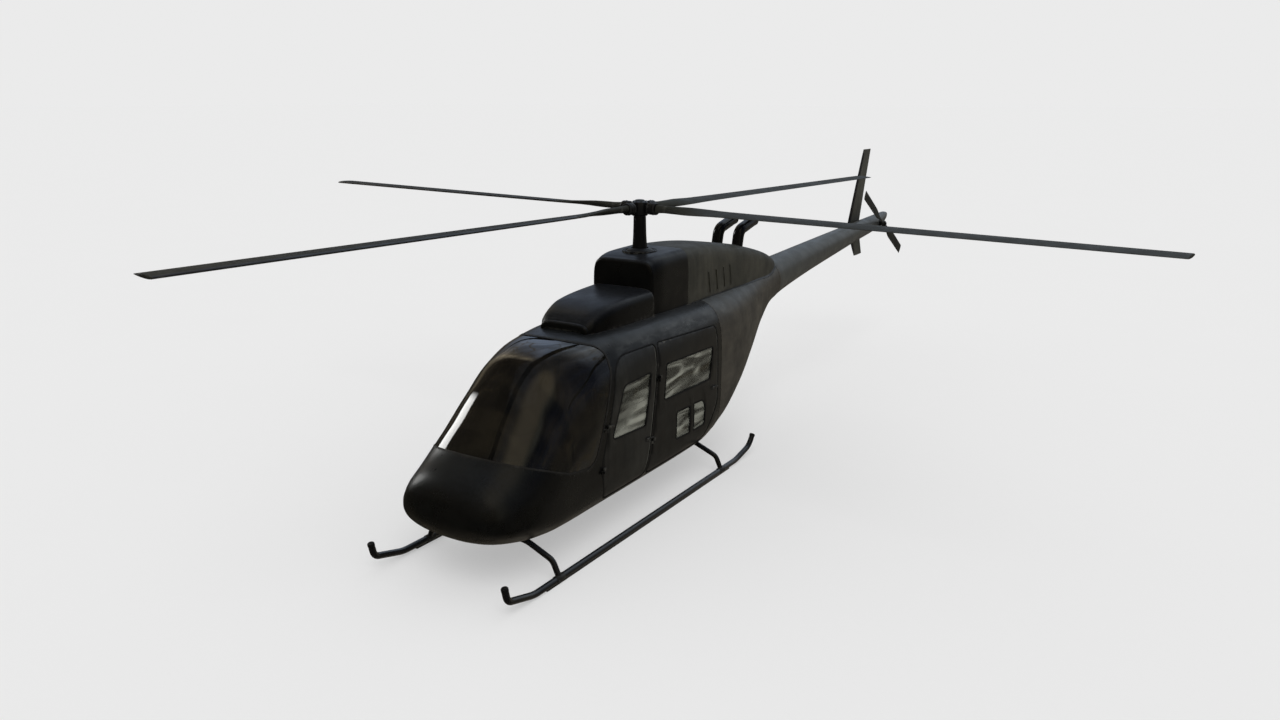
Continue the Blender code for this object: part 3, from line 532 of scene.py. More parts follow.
doorRidge = {"x": 0.66, "z": 1.70, "share": 0.35, "colour": (70, 71, 70)}
finish = {
    # each paint: base and patch colours, then the top colour, painted sky light on faces turned up, and the
    # under colour, painted floor bounce light where lighter than the base and painted shade where darker
    "cabin": paintFinish(
        "cabin paint", (5, 5, 5), (10, 10, 8), (22, 24, 26), (44, 40, 34), (0.24, 0.40), 0.10,
        specular=0.42, ridge={"x": 0.58, "z": 1.76, "share": 0.45, "colour": (74, 76, 76)}),
    "door": paintFinish(
        "door paint", (19, 19, 17), (34, 34, 31), (36, 38, 40), (46, 43, 37),
        (0.30, 0.50), 0.10, streaks="z", streakStrength=0.45, ridge=doorRidge),
    "rearDoor": paintFinish(
        "rear door paint", (7, 7, 6), (14, 14, 13), (32, 34, 36), (38, 35, 30),
        (0.28, 0.46), 0.10, streaks="z", streakStrength=0.45, ridge=doorRidge),
    "roof": paintFinish(
        "roof cowling paint", (3, 3, 3), (8, 8, 7), (28, 30, 34), (36, 33, 29),
        (0.26, 0.40), 0.0, specular=0.32),
    "engineCover": paintFinish(
        "engine cowling paint", (48, 47, 38), (60, 58, 48), (58, 59, 54), (58, 54, 46),
        (0.46, 0.64), 0.0, streaks="z", streakStrength=0.3),
    "tail": paintFinish(
        "tail paint", (50, 47, 41), (66, 62, 54), (68, 72, 74), (46, 40, 34),
        (0.38, 0.56), 0.0, ridge={"x": 0.56, "z": 1.78, "share": 0.4, "colour": (92, 93, 90)}),
    # the boom's upper side is painted lighter above a climbing line, as painted light over a darker underside
    "boom": paintFinish(
        "tail boom paint", (36, 32, 26), (46, 41, 34), (82, 87, 90), (32, 28, 23), (0.34, 0.50), 0.08,
        paintedLitUpper={"slope": 0.091, "height": 1.414, "share": 0.92, "colour": (58, 60, 58)}),
    "fin": paintFinish(
        "fin paint", (56, 56, 49), (66, 66, 58), (74, 75, 70), (52, 50, 44),
        (0.42, 0.6), 0.05, streaks="z"),
    "finEdge": paintFinish(
        "leading edge paint", (9, 9, 9), (16, 16, 16), (26, 26, 26), (20, 18, 16),
        (0.35, 0.5), 0.05, streaks="z"),
    # painted highlight: the pale strip along the doors' aft edges
    "paintedEdgeHighlight": paintFinish(
        "door edge painted highlight", (62, 62, 56), (80, 80, 74), (84, 85, 82), (60, 57, 50),
        (0.34, 0.5), 0.1, streaks="z"),
    "gear": paintFinish(
        "gear paint", (7, 7, 8), (14, 14, 15), (28, 31, 36), (26, 24, 21),
        (0.16, 0.34), 0.5, patchScale=6.0, wearShare=0.65),
    "blade": paintFinish(
        "blade paint", (30, 30, 25), (40, 40, 33), (42, 43, 38), (26, 25, 21),
        (0.50, 0.66), 0.0, patchScale=3.0, specular=0.3),
    "darkMetal": metalFinish("oiled dark metal", (15, 15, 15), (7, 7, 7), (0.30, 0.5), 0.35),
    "bareMetal": metalFinish("brushed metal", (150, 150, 152), (92, 90, 88), (0.25, 0.45), 1.0),
    "steel": metalFinish(
        "zinc fasteners", (78, 77, 74), (44, 42, 39), (0.35, 0.55), 0.8, (90, 90, 90)),
    "pipe": metalFinish(
        "blued exhaust steel", (11, 11, 13), (6, 6, 6), (0.12, 0.28), 0.3, (30, 30, 8)),
    # the glass's pale film colours are dust and painted reflection
    "screen": glassFinish(
        "windscreen acrylic", (9, 9, 9), (46, 41, 30), 0.14, 0.30, (1.2, 3.0, 1.6), coat=1.0),
    "pane": glassFinish(
        "side window acrylic", (44, 45, 40), (166, 167, 155), 0.40, 0.85, (1.6, 1.0, 7.0),
        detail=1.5),
    "rubber": rubberFinish("seal rubber", (8, 8, 8), (34, 33, 31)),
    "seal": rubberFinish("dusty glazing seal", (24, 23, 21), (60, 57, 50)),
    "trim": trimFinish("cabin plastic", (26, 26, 27), (44, 43, 41)),
    "lining": trimFinish("cabin lining", (44, 42, 39), (64, 61, 56), (0.7, 0.9), 260.0),
    "cloth": clothFinish("seat cloth", (40, 40, 42), (74, 72, 68)),
    "dial": trimFinish("dial faces", (8, 8, 9), (24, 24, 24), (0.25, 0.4), 900.0),
    "screenGlow": trimFinish("radio displays", (16, 26, 22), (26, 40, 34), (0.15, 0.3), 900.0),
    "marks": trimFinish("pale dial marks", (196, 194, 182), (160, 156, 140), (0.5, 0.7), 900.0),
}
print("materials:", len(finish))


# Body: cross sections at stations, from the nose to the end of the tail boom

body = {
    "nose": -3.060, "bulkhead": 0.620, "boomRoot": 3.000, "boomEnd": 7.350, "tailEnd": 7.750,
    "wall": 0.040, "floor": 0.400, "inside": (-2.880, 0.560), "count": 128, "spacing": 0.05,
    "gap": 0.0004,
}
bodySections = rows(
    Section,
    (-3.06, 0.56, 0.70, 0.260, 0.63, 2.4, 2.2), (-3.03, 0.48, 0.80, 0.420, 0.62, 2.3, 2.2),
    (-2.93, 0.41, 0.93, 0.540, 0.60, 2.3, 2.4), (-2.75, 0.35, 1.05, 0.610, 0.60, 2.3, 2.6),
    (-2.50, 0.30, 1.30, 0.645, 0.62, 2.2, 3.0), (-2.20, 0.27, 1.60, 0.650, 0.66, 2.3, 3.4),
    (-1.95, 0.27, 1.77, 0.650, 0.72, 2.6, 3.8), (-1.60, 0.27, 1.85, 0.655, 0.85, 3.2, 4.2),
    (-1.00, 0.27, 1.88, 0.660, 0.95, 4.0, 4.4), (-0.30, 0.27, 1.88, 0.665, 1.00, 4.4, 4.4),
    (0.30, 0.27, 1.88, 0.665, 1.05, 4.4, 4.2), (0.80, 0.37, 1.88, 0.645, 1.15, 4.2, 3.8),
    (1.30, 0.59, 1.88, 0.580, 1.25, 3.8, 3.4), (1.80, 0.85, 1.88, 0.470, 1.40, 3.2, 3.0),
    (2.30, 1.13, 1.89, 0.350, 1.54, 2.8, 2.4), (2.80, 1.35, 1.91, 0.260, 1.64, 2.3, 2.0),
    (3.40, 1.46, 1.94, 0.220, 1.72, 2.2, 1.8), (6.00, 1.75, 2.05, 0.150, 1.91, 2.1, 1.8),
    (7.35, 1.89, 2.10, 0.105, 2.00, 2.1, 1.9), (7.60, 1.97, 2.11, 0.070, 2.04, 2.0, 2.0),
    (7.75, 2.04, 2.09, 0.025, 2.06, 2.0, 2.0),
)


def bodyLoft(name, start, end, inset=0.0, floor=None, spacing=body["spacing"], count=body["count"]):
    return lofted(name, bodySections, start, end, spacing, count, inset, floor)


def bodySection(station):
    return sectionsAt(bodySections, np.array([station]))[0]


def bodySide(station, height):
    # half width of the body at a station and height
    s = bodySection(station)
    upper = height > s.widest
    power = s.topPower if upper else s.bottomPower
    reach = (s.high - s.widest) if upper else (s.widest - s.low)
    share = min(1.0, abs(height - s.widest) / max(reach, 1e-6))
    return s.halfWidth * (1 - share ** power) ** (1 / power)


def bodyShell(name, start, end, outset, inset, spacing=body["spacing"], count=body["count"]):
    # a closed sheet that follows the body between two depths
    outer = bodyLoft(name, start, end, -outset, spacing=spacing, count=count)
    inner = bodyLoft("inner", start - 0.05, end + 0.05, inset, spacing=spacing, count=count)
    return carve(outer, [inner])


def outlineBand(name, corners, margins, outer, inner, depth, start, end, side=None):
    # a strip along an outline: on the skin between two depths, outer and inner margins wide
    band = bodyShell(name, start, end, depth[0], depth[1], 0.04)
    wide = side or (-0.95, 0.95)
    shape = prism("outer", rounded(grown(corners, [m + outer for m in margins])), *wide)
    inside = rounded(grown(corners, [m + inner for m in margins]))
    hole = prism("inner", inside, wide[0] - 0.1, wide[1] + 0.1)
    return carve(carve(band, [shape], "INTERSECT"), [hole])


windscreenOutline = rows(
    Corner,
    (-3.40, 1.075, 0.0), (-2.72, 1.075, 0.10), (-2.45, 0.975, 0.30), (-2.13, 0.845, 0.40),
    (-1.77, 0.790, 0.17), (-1.42, 1.570, 0.30), (-1.38, 1.790, 0.10), (-1.60, 1.860, 0.05),
    (-1.62, 2.300, 0.0), (-3.40, 2.300, 0.0),
)
door = {
    "sill": 0.425, "head": 1.680, "gap": 0.006, "aftGap": 0.012, "sillGap": 0.014, "hingeTilt": 10.0,
    "hingeX": 0.672, "halfPost": 0.019, "seamTop": -0.660, "paneInset": 0.012, "paneThick": 0.006,
}


def seam(z):
    return door["seamTop"] - (door["head"] - z) * math.tan(math.radians(door["hingeTilt"]))


seamLow, seamHigh = seam(door["sill"]), seam(door["head"])
frontDoor = rows(
    Corner,
    (-1.585, door["sill"], 0.05), (-1.668, 0.740, 0.30), (-1.310, door["head"], 0.24),
    (seamHigh - door["halfPost"] - door["aftGap"], door["head"], 0.04),
    (seamLow - door["halfPost"] - door["aftGap"], door["sill"], 0.05),
)
rearDoor = rows(
    Corner,
    (seamLow + door["halfPost"] + door["gap"], door["sill"], 0.05),
    (seamHigh + door["halfPost"] + door["gap"], door["head"], 0.04),
    (0.490, 1.635, 0.06), (0.515, 0.800, 0.26), (0.270, door["sill"], 0.14),
)
doors = {
    # margins and the painted edge highlight: how far the frame's opening and the bare inner field inside the
    # pale strip lie outside each edge
    # hinge: a station and height on its axis; leaves: each leaf's height and how far its pad lies aft
    "front": {
        "outline": frontDoor, "handle": (-0.915, 0.800), "hinge": (-1.6555, 0.72),
        "margins": (door["gap"], door["gap"], door["gap"], door["aftGap"], door["sillGap"]),
        "paintedEdgeHighlight": (0.05, 0.05, 0.05, -0.010, 0.05), "leaves": {0.72: 0.006, 1.10: 0.066},
        "windows": {
            "window": rows(
                Corner, (-1.505, 0.960, 0.04), (-1.275, 1.425, 0.10), (-0.812, 1.445, 0.03),
                (-0.930, 0.935, 0.03)),
        },
    },
    "rear": {
        "outline": rearDoor, "handle": (0.395, 0.985),
        "hinge": (seamHigh + door["halfPost"] + door["gap"] / 2, door["head"]),
        "margins": (door["gap"], door["gap"], door["aftGap"], door["aftGap"], door["sillGap"]),
        "paintedEdgeHighlight": (0.05, 0.05, -0.009, 0.05, 0.05), "leaves": {0.75: 0.004, 1.35: 0.004},
        "windows": {
            "window": rows(
                Corner, (-0.600, 1.100, 0.03), (-0.545, 1.462, 0.03), (0.412, 1.435, 0.03),
                (0.340, 1.085, 0.05)),
            "lower_forward": rows(
                Corner, (-0.360, 0.620, 0.03), (-0.360, 0.915, 0.03), (-0.075, 0.912, 0.01),
                (-0.060, 0.605, 0.01)),
            "lower_aft": rows(
                Corner, (0.005, 0.605, 0.01), (-0.010, 0.912, 0.01), (0.250, 0.905, 0.12),
                (0.258, 0.610, 0.03)),
        },
    },
}
leaf = {
    "knuckle": 0.010, "edge": 0.0015, "length": 0.030, "pad": 0.034, "framePad": (-0.034, -0.005),
    "strap": (-0.010, 0.001), "foot": (-0.030, -0.001),
}
sealBand = {
    # outer and inner margin along the outline, then height above the skin and depth below it
    "door": (0.011, 0.0006, (0.0018, 0.004)), "windscreen": (0.006, -0.010, (0.0025, 0.004)),
    "window": (0.004, -0.009, (0.0022, 0.022)),
}
crossTube = {"stations": {"front": -2.450, "rear": 0.475}, "radius": 0.026, "top": 0.298}


def cabinWall(name, look):
    # the tool's faces keep their own material, so the wall is painted outside and lined inside
    outer = bodyLoft(name, body["nose"], body["bulkhead"])
    inner = bodyLoft("inner", *body["inside"], inset=body["wall"], floor=body["floor"])
    for piece in (outer, inner):
        piece.data.materials.append(finish[look])
        piece.data.materials.append(finish["lining"])
    for face in inner.data.polygons:
        face.material_index = 1
    return carve(outer, [inner])


def hingeLeaves(row, sign):
    # knuckle, strap and pad of each leaf: sign +1 on the door, -1 on its frame
    leaves = []
    y, z = doors[row]["hinge"]
    for height, reach in doors[row]["leaves"].items():
        station = y + (height - z) * math.tan(math.radians(door["hingeTilt"]))
        pivot = Matrix.Translation((door["hingeX"], station, height)) @ turnOf(-door["hingeTilt"], "X")
        low, high = sorted((sign * body["gap"] / 2, sign * leaf["length"]))
        full, edge = leaf["knuckle"], leaf["edge"]
        profile = [(low, full - 0.001), (low + edge, full), (high - edge, full), (high, full - 0.001)]
        knuckle = turned("knuckle", profile, count=24)
        near, far = (reach, reach + leaf["pad"]) if sign > 0 else leaf["framePad"]
        middle = (near + far) / 2
        strap = box("strap", (leaf["strap"][0], min(0.0, middle), low + 0.001),
                    (leaf["strap"][1], max(0.0, middle), high - 0.001))
        foot = box("foot", (leaf["foot"][0], near, low + 0.002), (leaf["foot"][1], far, high - 0.002))
        piece = joined("leaf", [knuckle, strap, foot])
        piece.data.transform(pivot)
        leaves.append(piece)
    return leaves


def buildCabin():
    shell = cabinWall("cabin_skin", "cabin")
    carve(shell, [prism("cut", rounded(windscreenOutline), -0.9, 0.9)])
    for row in doors.values():
        opening = rounded(grown(row["outline"], list(row["margins"])))
        carve(shell, [prism("cut", opening, 0.25, 0.85), prism("cut", opening, -0.85, -0.25)])
    half = crossTube["radius"] + body["gap"]
    for station in crossTube["stations"].values():
        groove = box("groove", (-0.9, station - half, 0.1), (0.9, station + half, crossTube["top"] + half))
        carve(shell, [groove])
    finished(shell, "airframe", ["cabin_shell"])
    bands = []
    for row in doors.values():
        band = outlineBand("band", row["outline"], list(row["margins"]), *sealBand["door"], -1.80,
                           body["bulkhead"] - 0.002, (0.3, 0.9))
        bands += [band, mirroredPiece(band, "copy")]
    finished(joined("door_frame_seals", bands), "airframe", look="rubber")
    for row in doors:
        leaves = hingeLeaves(row, -1)
        leaves += [mirroredPiece(leaf, "leaf") for leaf in leaves]
        finished(joined(f"frame_hinges_{row}", leaves), "airframe", look="roof")


def buildWindscreen():
    glass = bodyShell("windscreen_pane", -2.95, -1.2, -0.002, 0.008)
    trim = prism("trim", rounded(grown(windscreenOutline, -body["gap"])), -0.9, 0.9)
    carve(glass, [trim], "INTERSECT")
    finished(glass, "airframe", ["windscreen"], look="screen")
    still = [0.0] * len(windscreenOutline)
    edge = outlineBand("windscreen_seal", windscreenOutline, still, *sealBand["windscreen"], -3.0, -1.2)
    finished(edge, "airframe", look="seal")


def buildTail():
    aft = lofted("aft_skin", bodySections, body["bulkhead"] + body["gap"], body["boomRoot"], 0.05, 112,
                 roundStart=0.003, roundEnd=0.003, keepBottom=False)
    finished(aft, "airframe", ["aft_fuselage"], look="tail")
    boom = lofted("boom_skin", bodySections, body["boomRoot"] + body["gap"], body["boomEnd"], 0.12, 80,
                  roundStart=0.003, roundEnd=0.002, keepBottom=False)
    finished(boom, "airframe", ["tail_boom"], look="boom")
    cap = lofted("boom_tip", bodySections, body["boomEnd"] + body["gap"], body["tailEnd"], 0.02, 64,
                 roundStart=0.002, roundEnd=0.018, keepBottom=False)
    finished(cap, "airframe", ["boom_end"], look="boom")
    # straps over the joints, with the row of fasteners that the fastener tree adds later
    straps = {"bulkhead_strap": (body["bulkhead"], 0.030), "boom_strap": (body["boomRoot"], 0.044)}
    for name, (middle, width) in straps.items():
        strap = bodyShell(name, middle - width / 2, middle + width / 2, 0.0022, 0.004, 0.01, 112)
        finished(strap, "airframe", look="tail")


fin = {
    "x": -0.152, "edgeShare": 0.16,
    "rows": [(1.470, 6.740, 0.340, 0.022), (1.700, 6.560, 0.420, 0.030), (2.000, 6.370, 0.520, 0.034),
             (2.600, 6.650, 0.420, 0.030), (3.150, 6.920, 0.330, 0.024)],
}


def finRings(heights, grow=0.0, share=1.0):
    columns = list(zip(*fin["rows"]))
    leading, chord, thick = (np.interp(heights, columns[0], column) for column in columns[1:])
    rings = []
    for height, start, length, depth in zip(heights, leading, chord, thick):
        ring = []
        limit = math.acos(1 - 2 * share)
        turns = np.linspace(0, 2 * math.pi, 56, endpoint=False)
        if share < 1:
            turns = np.linspace(-limit, limit, 41)
        for a in turns:
            station = start + length / 2 * (1 - math.cos(a)) - grow * math.cos(a)
            x = fin["x"] + (depth / 2 + grow) * math.sin(a) * (1 + 0.45 * math.cos(a))
            ring.append((x, station, height))
        rings.append(ring)
    return rings


def buildFin():
    low, high = fin["rows"][0][0], fin["rows"][-1][0]
    heights = sorted(set(np.linspace(low, high, 30)) | {row[0] for row in fin["rows"]})
    skin = skinned("fin_skin", finRings(heights))
    finished(skin, "airframe", ["vertical_fin"], look="fin")
    strip = skinned("fin_leading_edge", finRings([h for h in heights if low + 0.02 < h < high - 0.002],
                                                 0.0012, fin["edgeShare"]))
    finished(strip, "airframe", look="finEdge")


# Cowlings

cowling = {
    "count": 144, "spacing": 0.04, "wall": 0.012, "mastHole": 0.090, "flange": 0.016, "flangeThick": 0.003,
    "forward": rows(
        Section,
        (-1.34, 1.75, 1.91, 0.244, 1.80, 4.5, 3.0), (-1.28, 1.75, 1.98, 0.296, 1.80, 5.0, 3.0),
        (-1.18, 1.75, 2.04, 0.320, 1.80, 5.5, 3.0), (-1.00, 1.75, 2.09, 0.350, 1.80, 6.5, 3.0),
        (-0.60, 1.75, 2.12, 0.375, 1.80, 7.5, 3.0), (-0.3404, 1.75, 2.13, 0.385, 1.80, 7.5, 3.0)),
    "mast": rows(
        Section,
        (-0.34, 1.75, 2.38, 0.350, 1.90, 6.5, 4.0), (-0.28, 1.75, 2.41, 0.365, 1.90, 7.0, 4.0),
        (-0.10, 1.75, 2.44, 0.380, 1.90, 7.5, 4.0), (0.34, 1.75, 2.45, 0.385, 1.90, 7.5, 4.0)),
    "engine": rows(
        Section,
        (0.3404, 1.72, 2.45, 0.385, 1.85, 7.5, 4.0), (0.90, 1.72, 2.42, 0.370, 1.85, 6.5, 4.0),
        (1.60, 1.72, 2.33, 0.330, 1.85, 5.5, 4.0), (2.20, 1.72, 2.21, 0.275, 1.85, 4.5, 4.0),
        (2.75, 1.72, 2.07, 0.215, 1.82, 3.5, 4.0), (3.00, 1.72, 1.98, 0.160, 1.80, 3.0, 4.0)),
    "rounding": {"forward": (0.030, 0.0), "mast": (0.040, 0.004), "engine": (0.004, 0.030)},
    "finish": {"forward": "roof", "mast": "roof", "engine": "engineCover"},
}
louvre = {
    "stations": (0.800, 0.985, 1.175, 1.355), "low": 1.905, "high": 2.135, "lean": 0.045, "width": 0.026,
    "rim": 0.003, "lip": 0.007,
}
exhaust = {
    "x": 0.135, "radius": 0.066, "wall": 0.005, "sides": 48,
    # the rolled lip: distance from the pipe's end and what it adds to the radius
    "lip": [(-0.016, 0.0), (-0.014, 0.0035), (-0.002, 0.0035), (0.0, 0.001), (0.0, -0.007), (-0.016, -0.007)],
    "path": rows(Corner, (1.930, 2.200, 0.0), (1.990, 2.435, 0.12), (2.370, 2.520, 0.0)),
}


def cowlingLoft(name, table, inset=0.0, rounding=(0.0, 0.0), ends=0.0):
    start, end = table[0].y + ends, table[-1].y - ends
    return lofted(name, table, start, end, cowling["spacing"], cowling["count"], inset, None, *rounding)


def louvreSlots(margin=0.0):
    # leaning slots on both sides of the engine cowling
    slots = []
    for station in louvre["stations"]:
        w, lean = louvre["width"] / 2 + margin, louvre["lean"]
        low, high = louvre["low"] - margin, louvre["high"] + margin
        foot = station + lean
        outline = [(station - w, high), (station + w, high), (foot + w, low), (foot - w, low)]
        slots += [prism("slot", outline, x - 0.12, x + 0.12) for x in (0.36, -0.36)]
    return slots


def buildCowlings():
    for name in ("forward", "mast", "engine"):
        table = cowling[name]
        cover = cowlingLoft(f"{name}_cover", table, 0.0, cowling["rounding"][name])
        lowered = [row._replace(low=row.low - 0.2, widest=row.widest - 0.2) for row in table]
        inside = cowlingLoft("inside", lowered, cowling["wall"], ends=cowling["wall"])
        jacket = bodyLoft("jacket", body["nose"], body["boomRoot"] + 0.4, -body["gap"])
        carve(cover, [inside, jacket])
        if name == "mast":
            carve(cover, [turned("hole", [(2.2, cowling["mastHole"]), (2.6, cowling["mastHole"])])])
        if name == "engine":
            carve(cover, [joined("slots", louvreSlots())])
        finished(cover, "airframe", [f"cowling_{name}"], look=cowling["finish"][name])
    rims = cowlingLoft("louvre_rims", cowling["engine"], -louvre["rim"])
    carve(rims, [cowlingLoft("inside", cowling["engine"], 0.002, ends=-0.05)])
    carve(rims, [joined("band", louvreSlots(louvre["lip"]))], "INTERSECT")
    carve(rims, [joined("opening", louvreSlots())])
    finished(rims, "airframe", look="engineCover")
    # one thin flange where the covers stand on the roof
    flange = None
    for name in ("forward", "mast", "engine"):
        foot = cowlingLoft("foot", cowling[name], -cowling["flange"])
        flange = foot if flange is None else carve(flange, [foot], "UNION")
    skin = bodyShell("roof", -1.6, body["boomRoot"] + 0.1, cowling["flangeThick"], 0.002)
    carve(flange, [skin], "INTERSECT")
    flange.name = "cowling_flange"
    finished(flange, "airframe", look="roof")


def buildExhausts():
    path = [(p.x, p.y) for p in rounded(exhaust["path"], 14, closed=False)]
    path = evenly(path, 0.012)
    for side, x in (("port", exhaust["x"]), ("starboard", -exhaust["x"])):
        line = [Vector((x, p.x, p.y)) for p in path]
        radius = exhaust["radius"]
        pipe = swept(f"exhaust_pipe_{side}", line, (1, 0, 0), radius, exhaust["sides"])
        first, last = (line[0] - line[1]).normalized(), (line[-1] - line[-2]).normalized()
        bore = swept("bore", [line[0] + first * 0.1] + line + [line[-1] + last * 0.1], (1, 0, 0),
                     radius - exhaust["wall"], exhaust["sides"])
        carve(pipe, [bore, cowlingLoft("jacket", cowling["engine"], -body["gap"])])
        turn = Vector((0, 0, 1)).rotation_difference(last)
        lip = turned("lip", [(along, radius + more) for along, more in exhaust["lip"]])
        lip.data.transform(Matrix.Translation(line[-1]) @ turn.to_matrix().to_4x4())
        whole = joined(f"exhaust_pipe_{side}", [pipe, openRing(lip)])
        finished(whole, "airframe", [f"exhaust_{side}"], look="pipe")


def openRing(piece):
    # a turned profile that comes back to its start: its two caps give way to the last band
    work = bmesh.new()
    work.from_mesh(piece.data)
    caps = [face for face in work.faces if len(face.verts) > 4]
    rims = [list(face.verts) for face in caps]
    bmesh.ops.delete(work, geom=caps, context="FACES_ONLY")
    loops = [[e for e in work.edges if e.is_boundary and all(v in rim for v in e.verts)] for rim in rims]
    bmesh.ops.bridge_loops(work, edges=loops[0] + loops[1])
    bmesh.ops.recalc_face_normals(work, faces=work.faces)
    work.to_mesh(piece.data)
    work.free()
    return piece


# Doors

handle = {
    "plate": [(-0.004, 0.034), (0.0015, 0.034), (0.003, 0.032)],
    "knob": [(0.002, 0.012), (0.012, 0.012), (0.014, 0.010)],
    "lever": [(0.011, -0.012, 0.0), (0.012, 0.03, -0.001), (0.012, 0.085, -0.006), (0.009, 0.104, -0.009)],
    "radii": [0.0085, 0.0075, 0.0065, 0.005], "flat": 1.5, "step": 0.03,
}


def surfaceHandle(station, height):
    # a flush plate with a turning lever, laid on the door's skin
    plate = turned("plate", handle["plate"], (1, 0, 0), count=32)
    knob = turned("knob", handle["knob"], (1, 0, 0), count=24)
    lever = swept("lever", handle["lever"], (0, 0, 1), handle["radii"], 16, flat=handle["flat"])
    whole = joined("handle", [plate, knob, lever])
    step = handle["step"]
    tilt = math.atan2(bodySide(station, height - step) - bodySide(station, height + step), 2 * step)
    yaw = math.atan2(bodySide(station + step, height) - bodySide(station - step, height), 2 * step)
    spot = Matrix.Translation((bodySide(station, height), station, height))
    whole.data.transform(spot @ Matrix.Rotation(-yaw, 4, "Z") @ Matrix.Rotation(-tilt, 4, "Y"))
    return whole


def buildDoors():
    for row, spec in doors.items():
        blank = prism("blank", rounded(spec["outline"]), 0.30, 0.80)
        panel = carve(cabinWall("panel", "door"), [blank], "INTERSECT")
        for window in spec["windows"].values():
            carve(panel, [prism("cut", rounded(window), 0.2, 0.9)])
        if row == "rear":
            panel.data.materials[0] = finish["rearDoor"]
        softEdges(panel, 0.0022, 2, 50)
        hinges = painted(joined("hinges", hingeLeaves(row, 1)), "roof")
        grasp = painted(surfaceHandle(*spec["handle"]), "darkMetal")
        panes, seals = {}, []
        for label, window in spec["windows"].items():
            pane = bodyShell("pane", -1.75, body["bulkhead"], -door["paneInset"],
                             door["paneInset"] + door["paneThick"], 0.04)
            trim = prism("trim", rounded(grown(window, -body["gap"])), 0.30, 0.90)
            panes[label] = painted(carve(pane, [trim], "INTERSECT"), "pane")
            seals.append(outlineBand("seal", window, [0.0] * len(window), *sealBand["window"], -1.75,
                                     body["bulkhead"], (0.3, 0.9)))
        seal = painted(joined("seal", seals), "rubber")
        # painted highlight: a pale strip along the door's aft edge, a little proud of the skin, where the
        # edge catches light
        paintedEdgeHighlight = bodyShell("paintedEdgeHighlight", -1.75, body["bulkhead"], 0.0014, 0.003, 0.04)
        outer = prism("outer", rounded(grown(spec["outline"], -0.003)), 0.30, 0.90)
        inner = prism("inner", rounded(grown(spec["outline"], spec["paintedEdgeHighlight"])), 0.2, 1.0)
        paintedEdgeHighlight = painted(carve(carve(paintedEdgeHighlight, [outer], "INTERSECT"), [inner]), "paintedEdgeHighlight")
        for side in ("port", "starboard"):
            carrier = f"door_{row}_{side}"
            made = {"panel": (panel, "door_paint", [carrier]), "hinges": (hinges, "dark_metal", []),
                    "handle": (grasp, "dark_metal", []), "seals": (seal, "dark_metal", []),
                    "paintedEdgeHighlight": (paintedEdgeHighlight, "door_paint", [])}
            for label, pane in panes.items():
                made[label] = (pane, "tinted_glass", [f"{carrier}_{label}"])
            for label, (piece, slot, replaced) in made.items():
                copy = mirroredPiece(piece, f"{carrier}_{label}_look")
                if side == "port":
                    copy.data.transform(Matrix.Scale(-1, 4, (1, 0, 0)))
                    copy.data.flip_normals()
                finished(copy, carrier, replaced, 25)
        for piece in [panel, hinges, grasp, seal, paintedEdgeHighlight, *panes.values()]:
            bpy.data.objects.remove(piece)


for build in (buildCabin, buildWindscreen, buildTail, buildFin, buildCowlings, buildExhausts, buildDoors):
    build()
    print("built:", build.__name__[5:])


# Landing gear

gear = {
    "x": 0.7435, "radius": 0.030, "height": 0.037, "sides": 40,
    "path": rows(
        Corner, (-3.150, 0.255, 0.0), (-3.120, 0.125, 0.08), (-2.790, 0.037, 0.45), (0.830, 0.037, 0.70),
        (1.165, 0.105, 0.20), (1.245, 0.215, 0.0)),
    "cross": rows(
        Corner, (0.0, 0.298, 0.0), (0.400, 0.298, 0.30), (0.680, 0.185, 0.10), (0.7435, 0.045, 0.0)),
    "shoe": {"start": -2.640, "end": 0.640, "halfWidth": 0.022, "top": 0.020},
    "plug": [(-0.020, 0.0315), (0.000, 0.0315), (0.006, 0.028), (0.0085, 0.020), (0.009, 0.008)],
    "sleeve": [(-0.055, 0.0315), (-0.050, 0.0345), (0.050, 0.0345), (0.055, 0.0315)],
}


def buildGear():
    line = evenly([(p.x, p.y) for p in rounded(gear["path"], 16, closed=False)], 0.02)
    path = [Vector((gear["x"], p.x, p.y)) for p in line]
    port = swept("skid_tube_port", path, (1, 0, 0), gear["radius"], gear["sides"])
    shoe = gear["shoe"]
    sole = box("sole", (gear["x"] - shoe["halfWidth"], shoe["start"], 0.0),
               (gear["x"] + shoe["halfWidth"], shoe["end"], shoe["top"]))
    carve(port, [softEdges(sole, 0.002)], "UNION")
    plugs = []
    for end, before in ((path[0], path[1]), (path[-1], path[-2])):
        turn = Vector((0, 0, 1)).rotation_difference(end - before).to_matrix().to_4x4()
        plug = turned("plug", gear["plug"], count=gear["sides"])
        plug.data.transform(Matrix.Translation(end) @ turn)
        plugs.append(plug)
    # sleeves round the skid where the cross tubes stand in it
    spots = [(gear["x"], station, gear["height"]) for station in crossTube["stations"].values()]
    saddles = [turned("sleeve", gear["sleeve"], (0, 1, 0), spot, gear["sides"]) for spot in spots]
    for name, pieces, look in (("skid_plugs", plugs, "rubber"), ("skid_saddles", saddles, "darkMetal")):
        both = pieces + [mirroredPiece(piece, "copy") for piece in pieces]
        finished(joined(name, both), "airframe", look=look)
    starboard = mirroredPiece(port, "skid_tube_starboard")
    for side, skid in (("port", port), ("starboard", starboard)):
        finished(skid, "airframe", [f"skid_{side}"], look="gear")
    half = [Vector((p.x, p.y)) for p in rounded(gear["cross"], 14, closed=False)]
    outline = evenly([Vector((-p.x, p.y)) for p in reversed(half[1:])] + half, 0.018)
    for name, station in crossTube["stations"].items():
        line = [(p.x, station, p.y) for p in outline]
        tube = swept(f"cross_bar_{name}", line, (0, 1, 0), crossTube["radius"], gear["sides"])
        finished(tube, "airframe", [f"cross_tube_{name}"], look="gear")


# Rotors

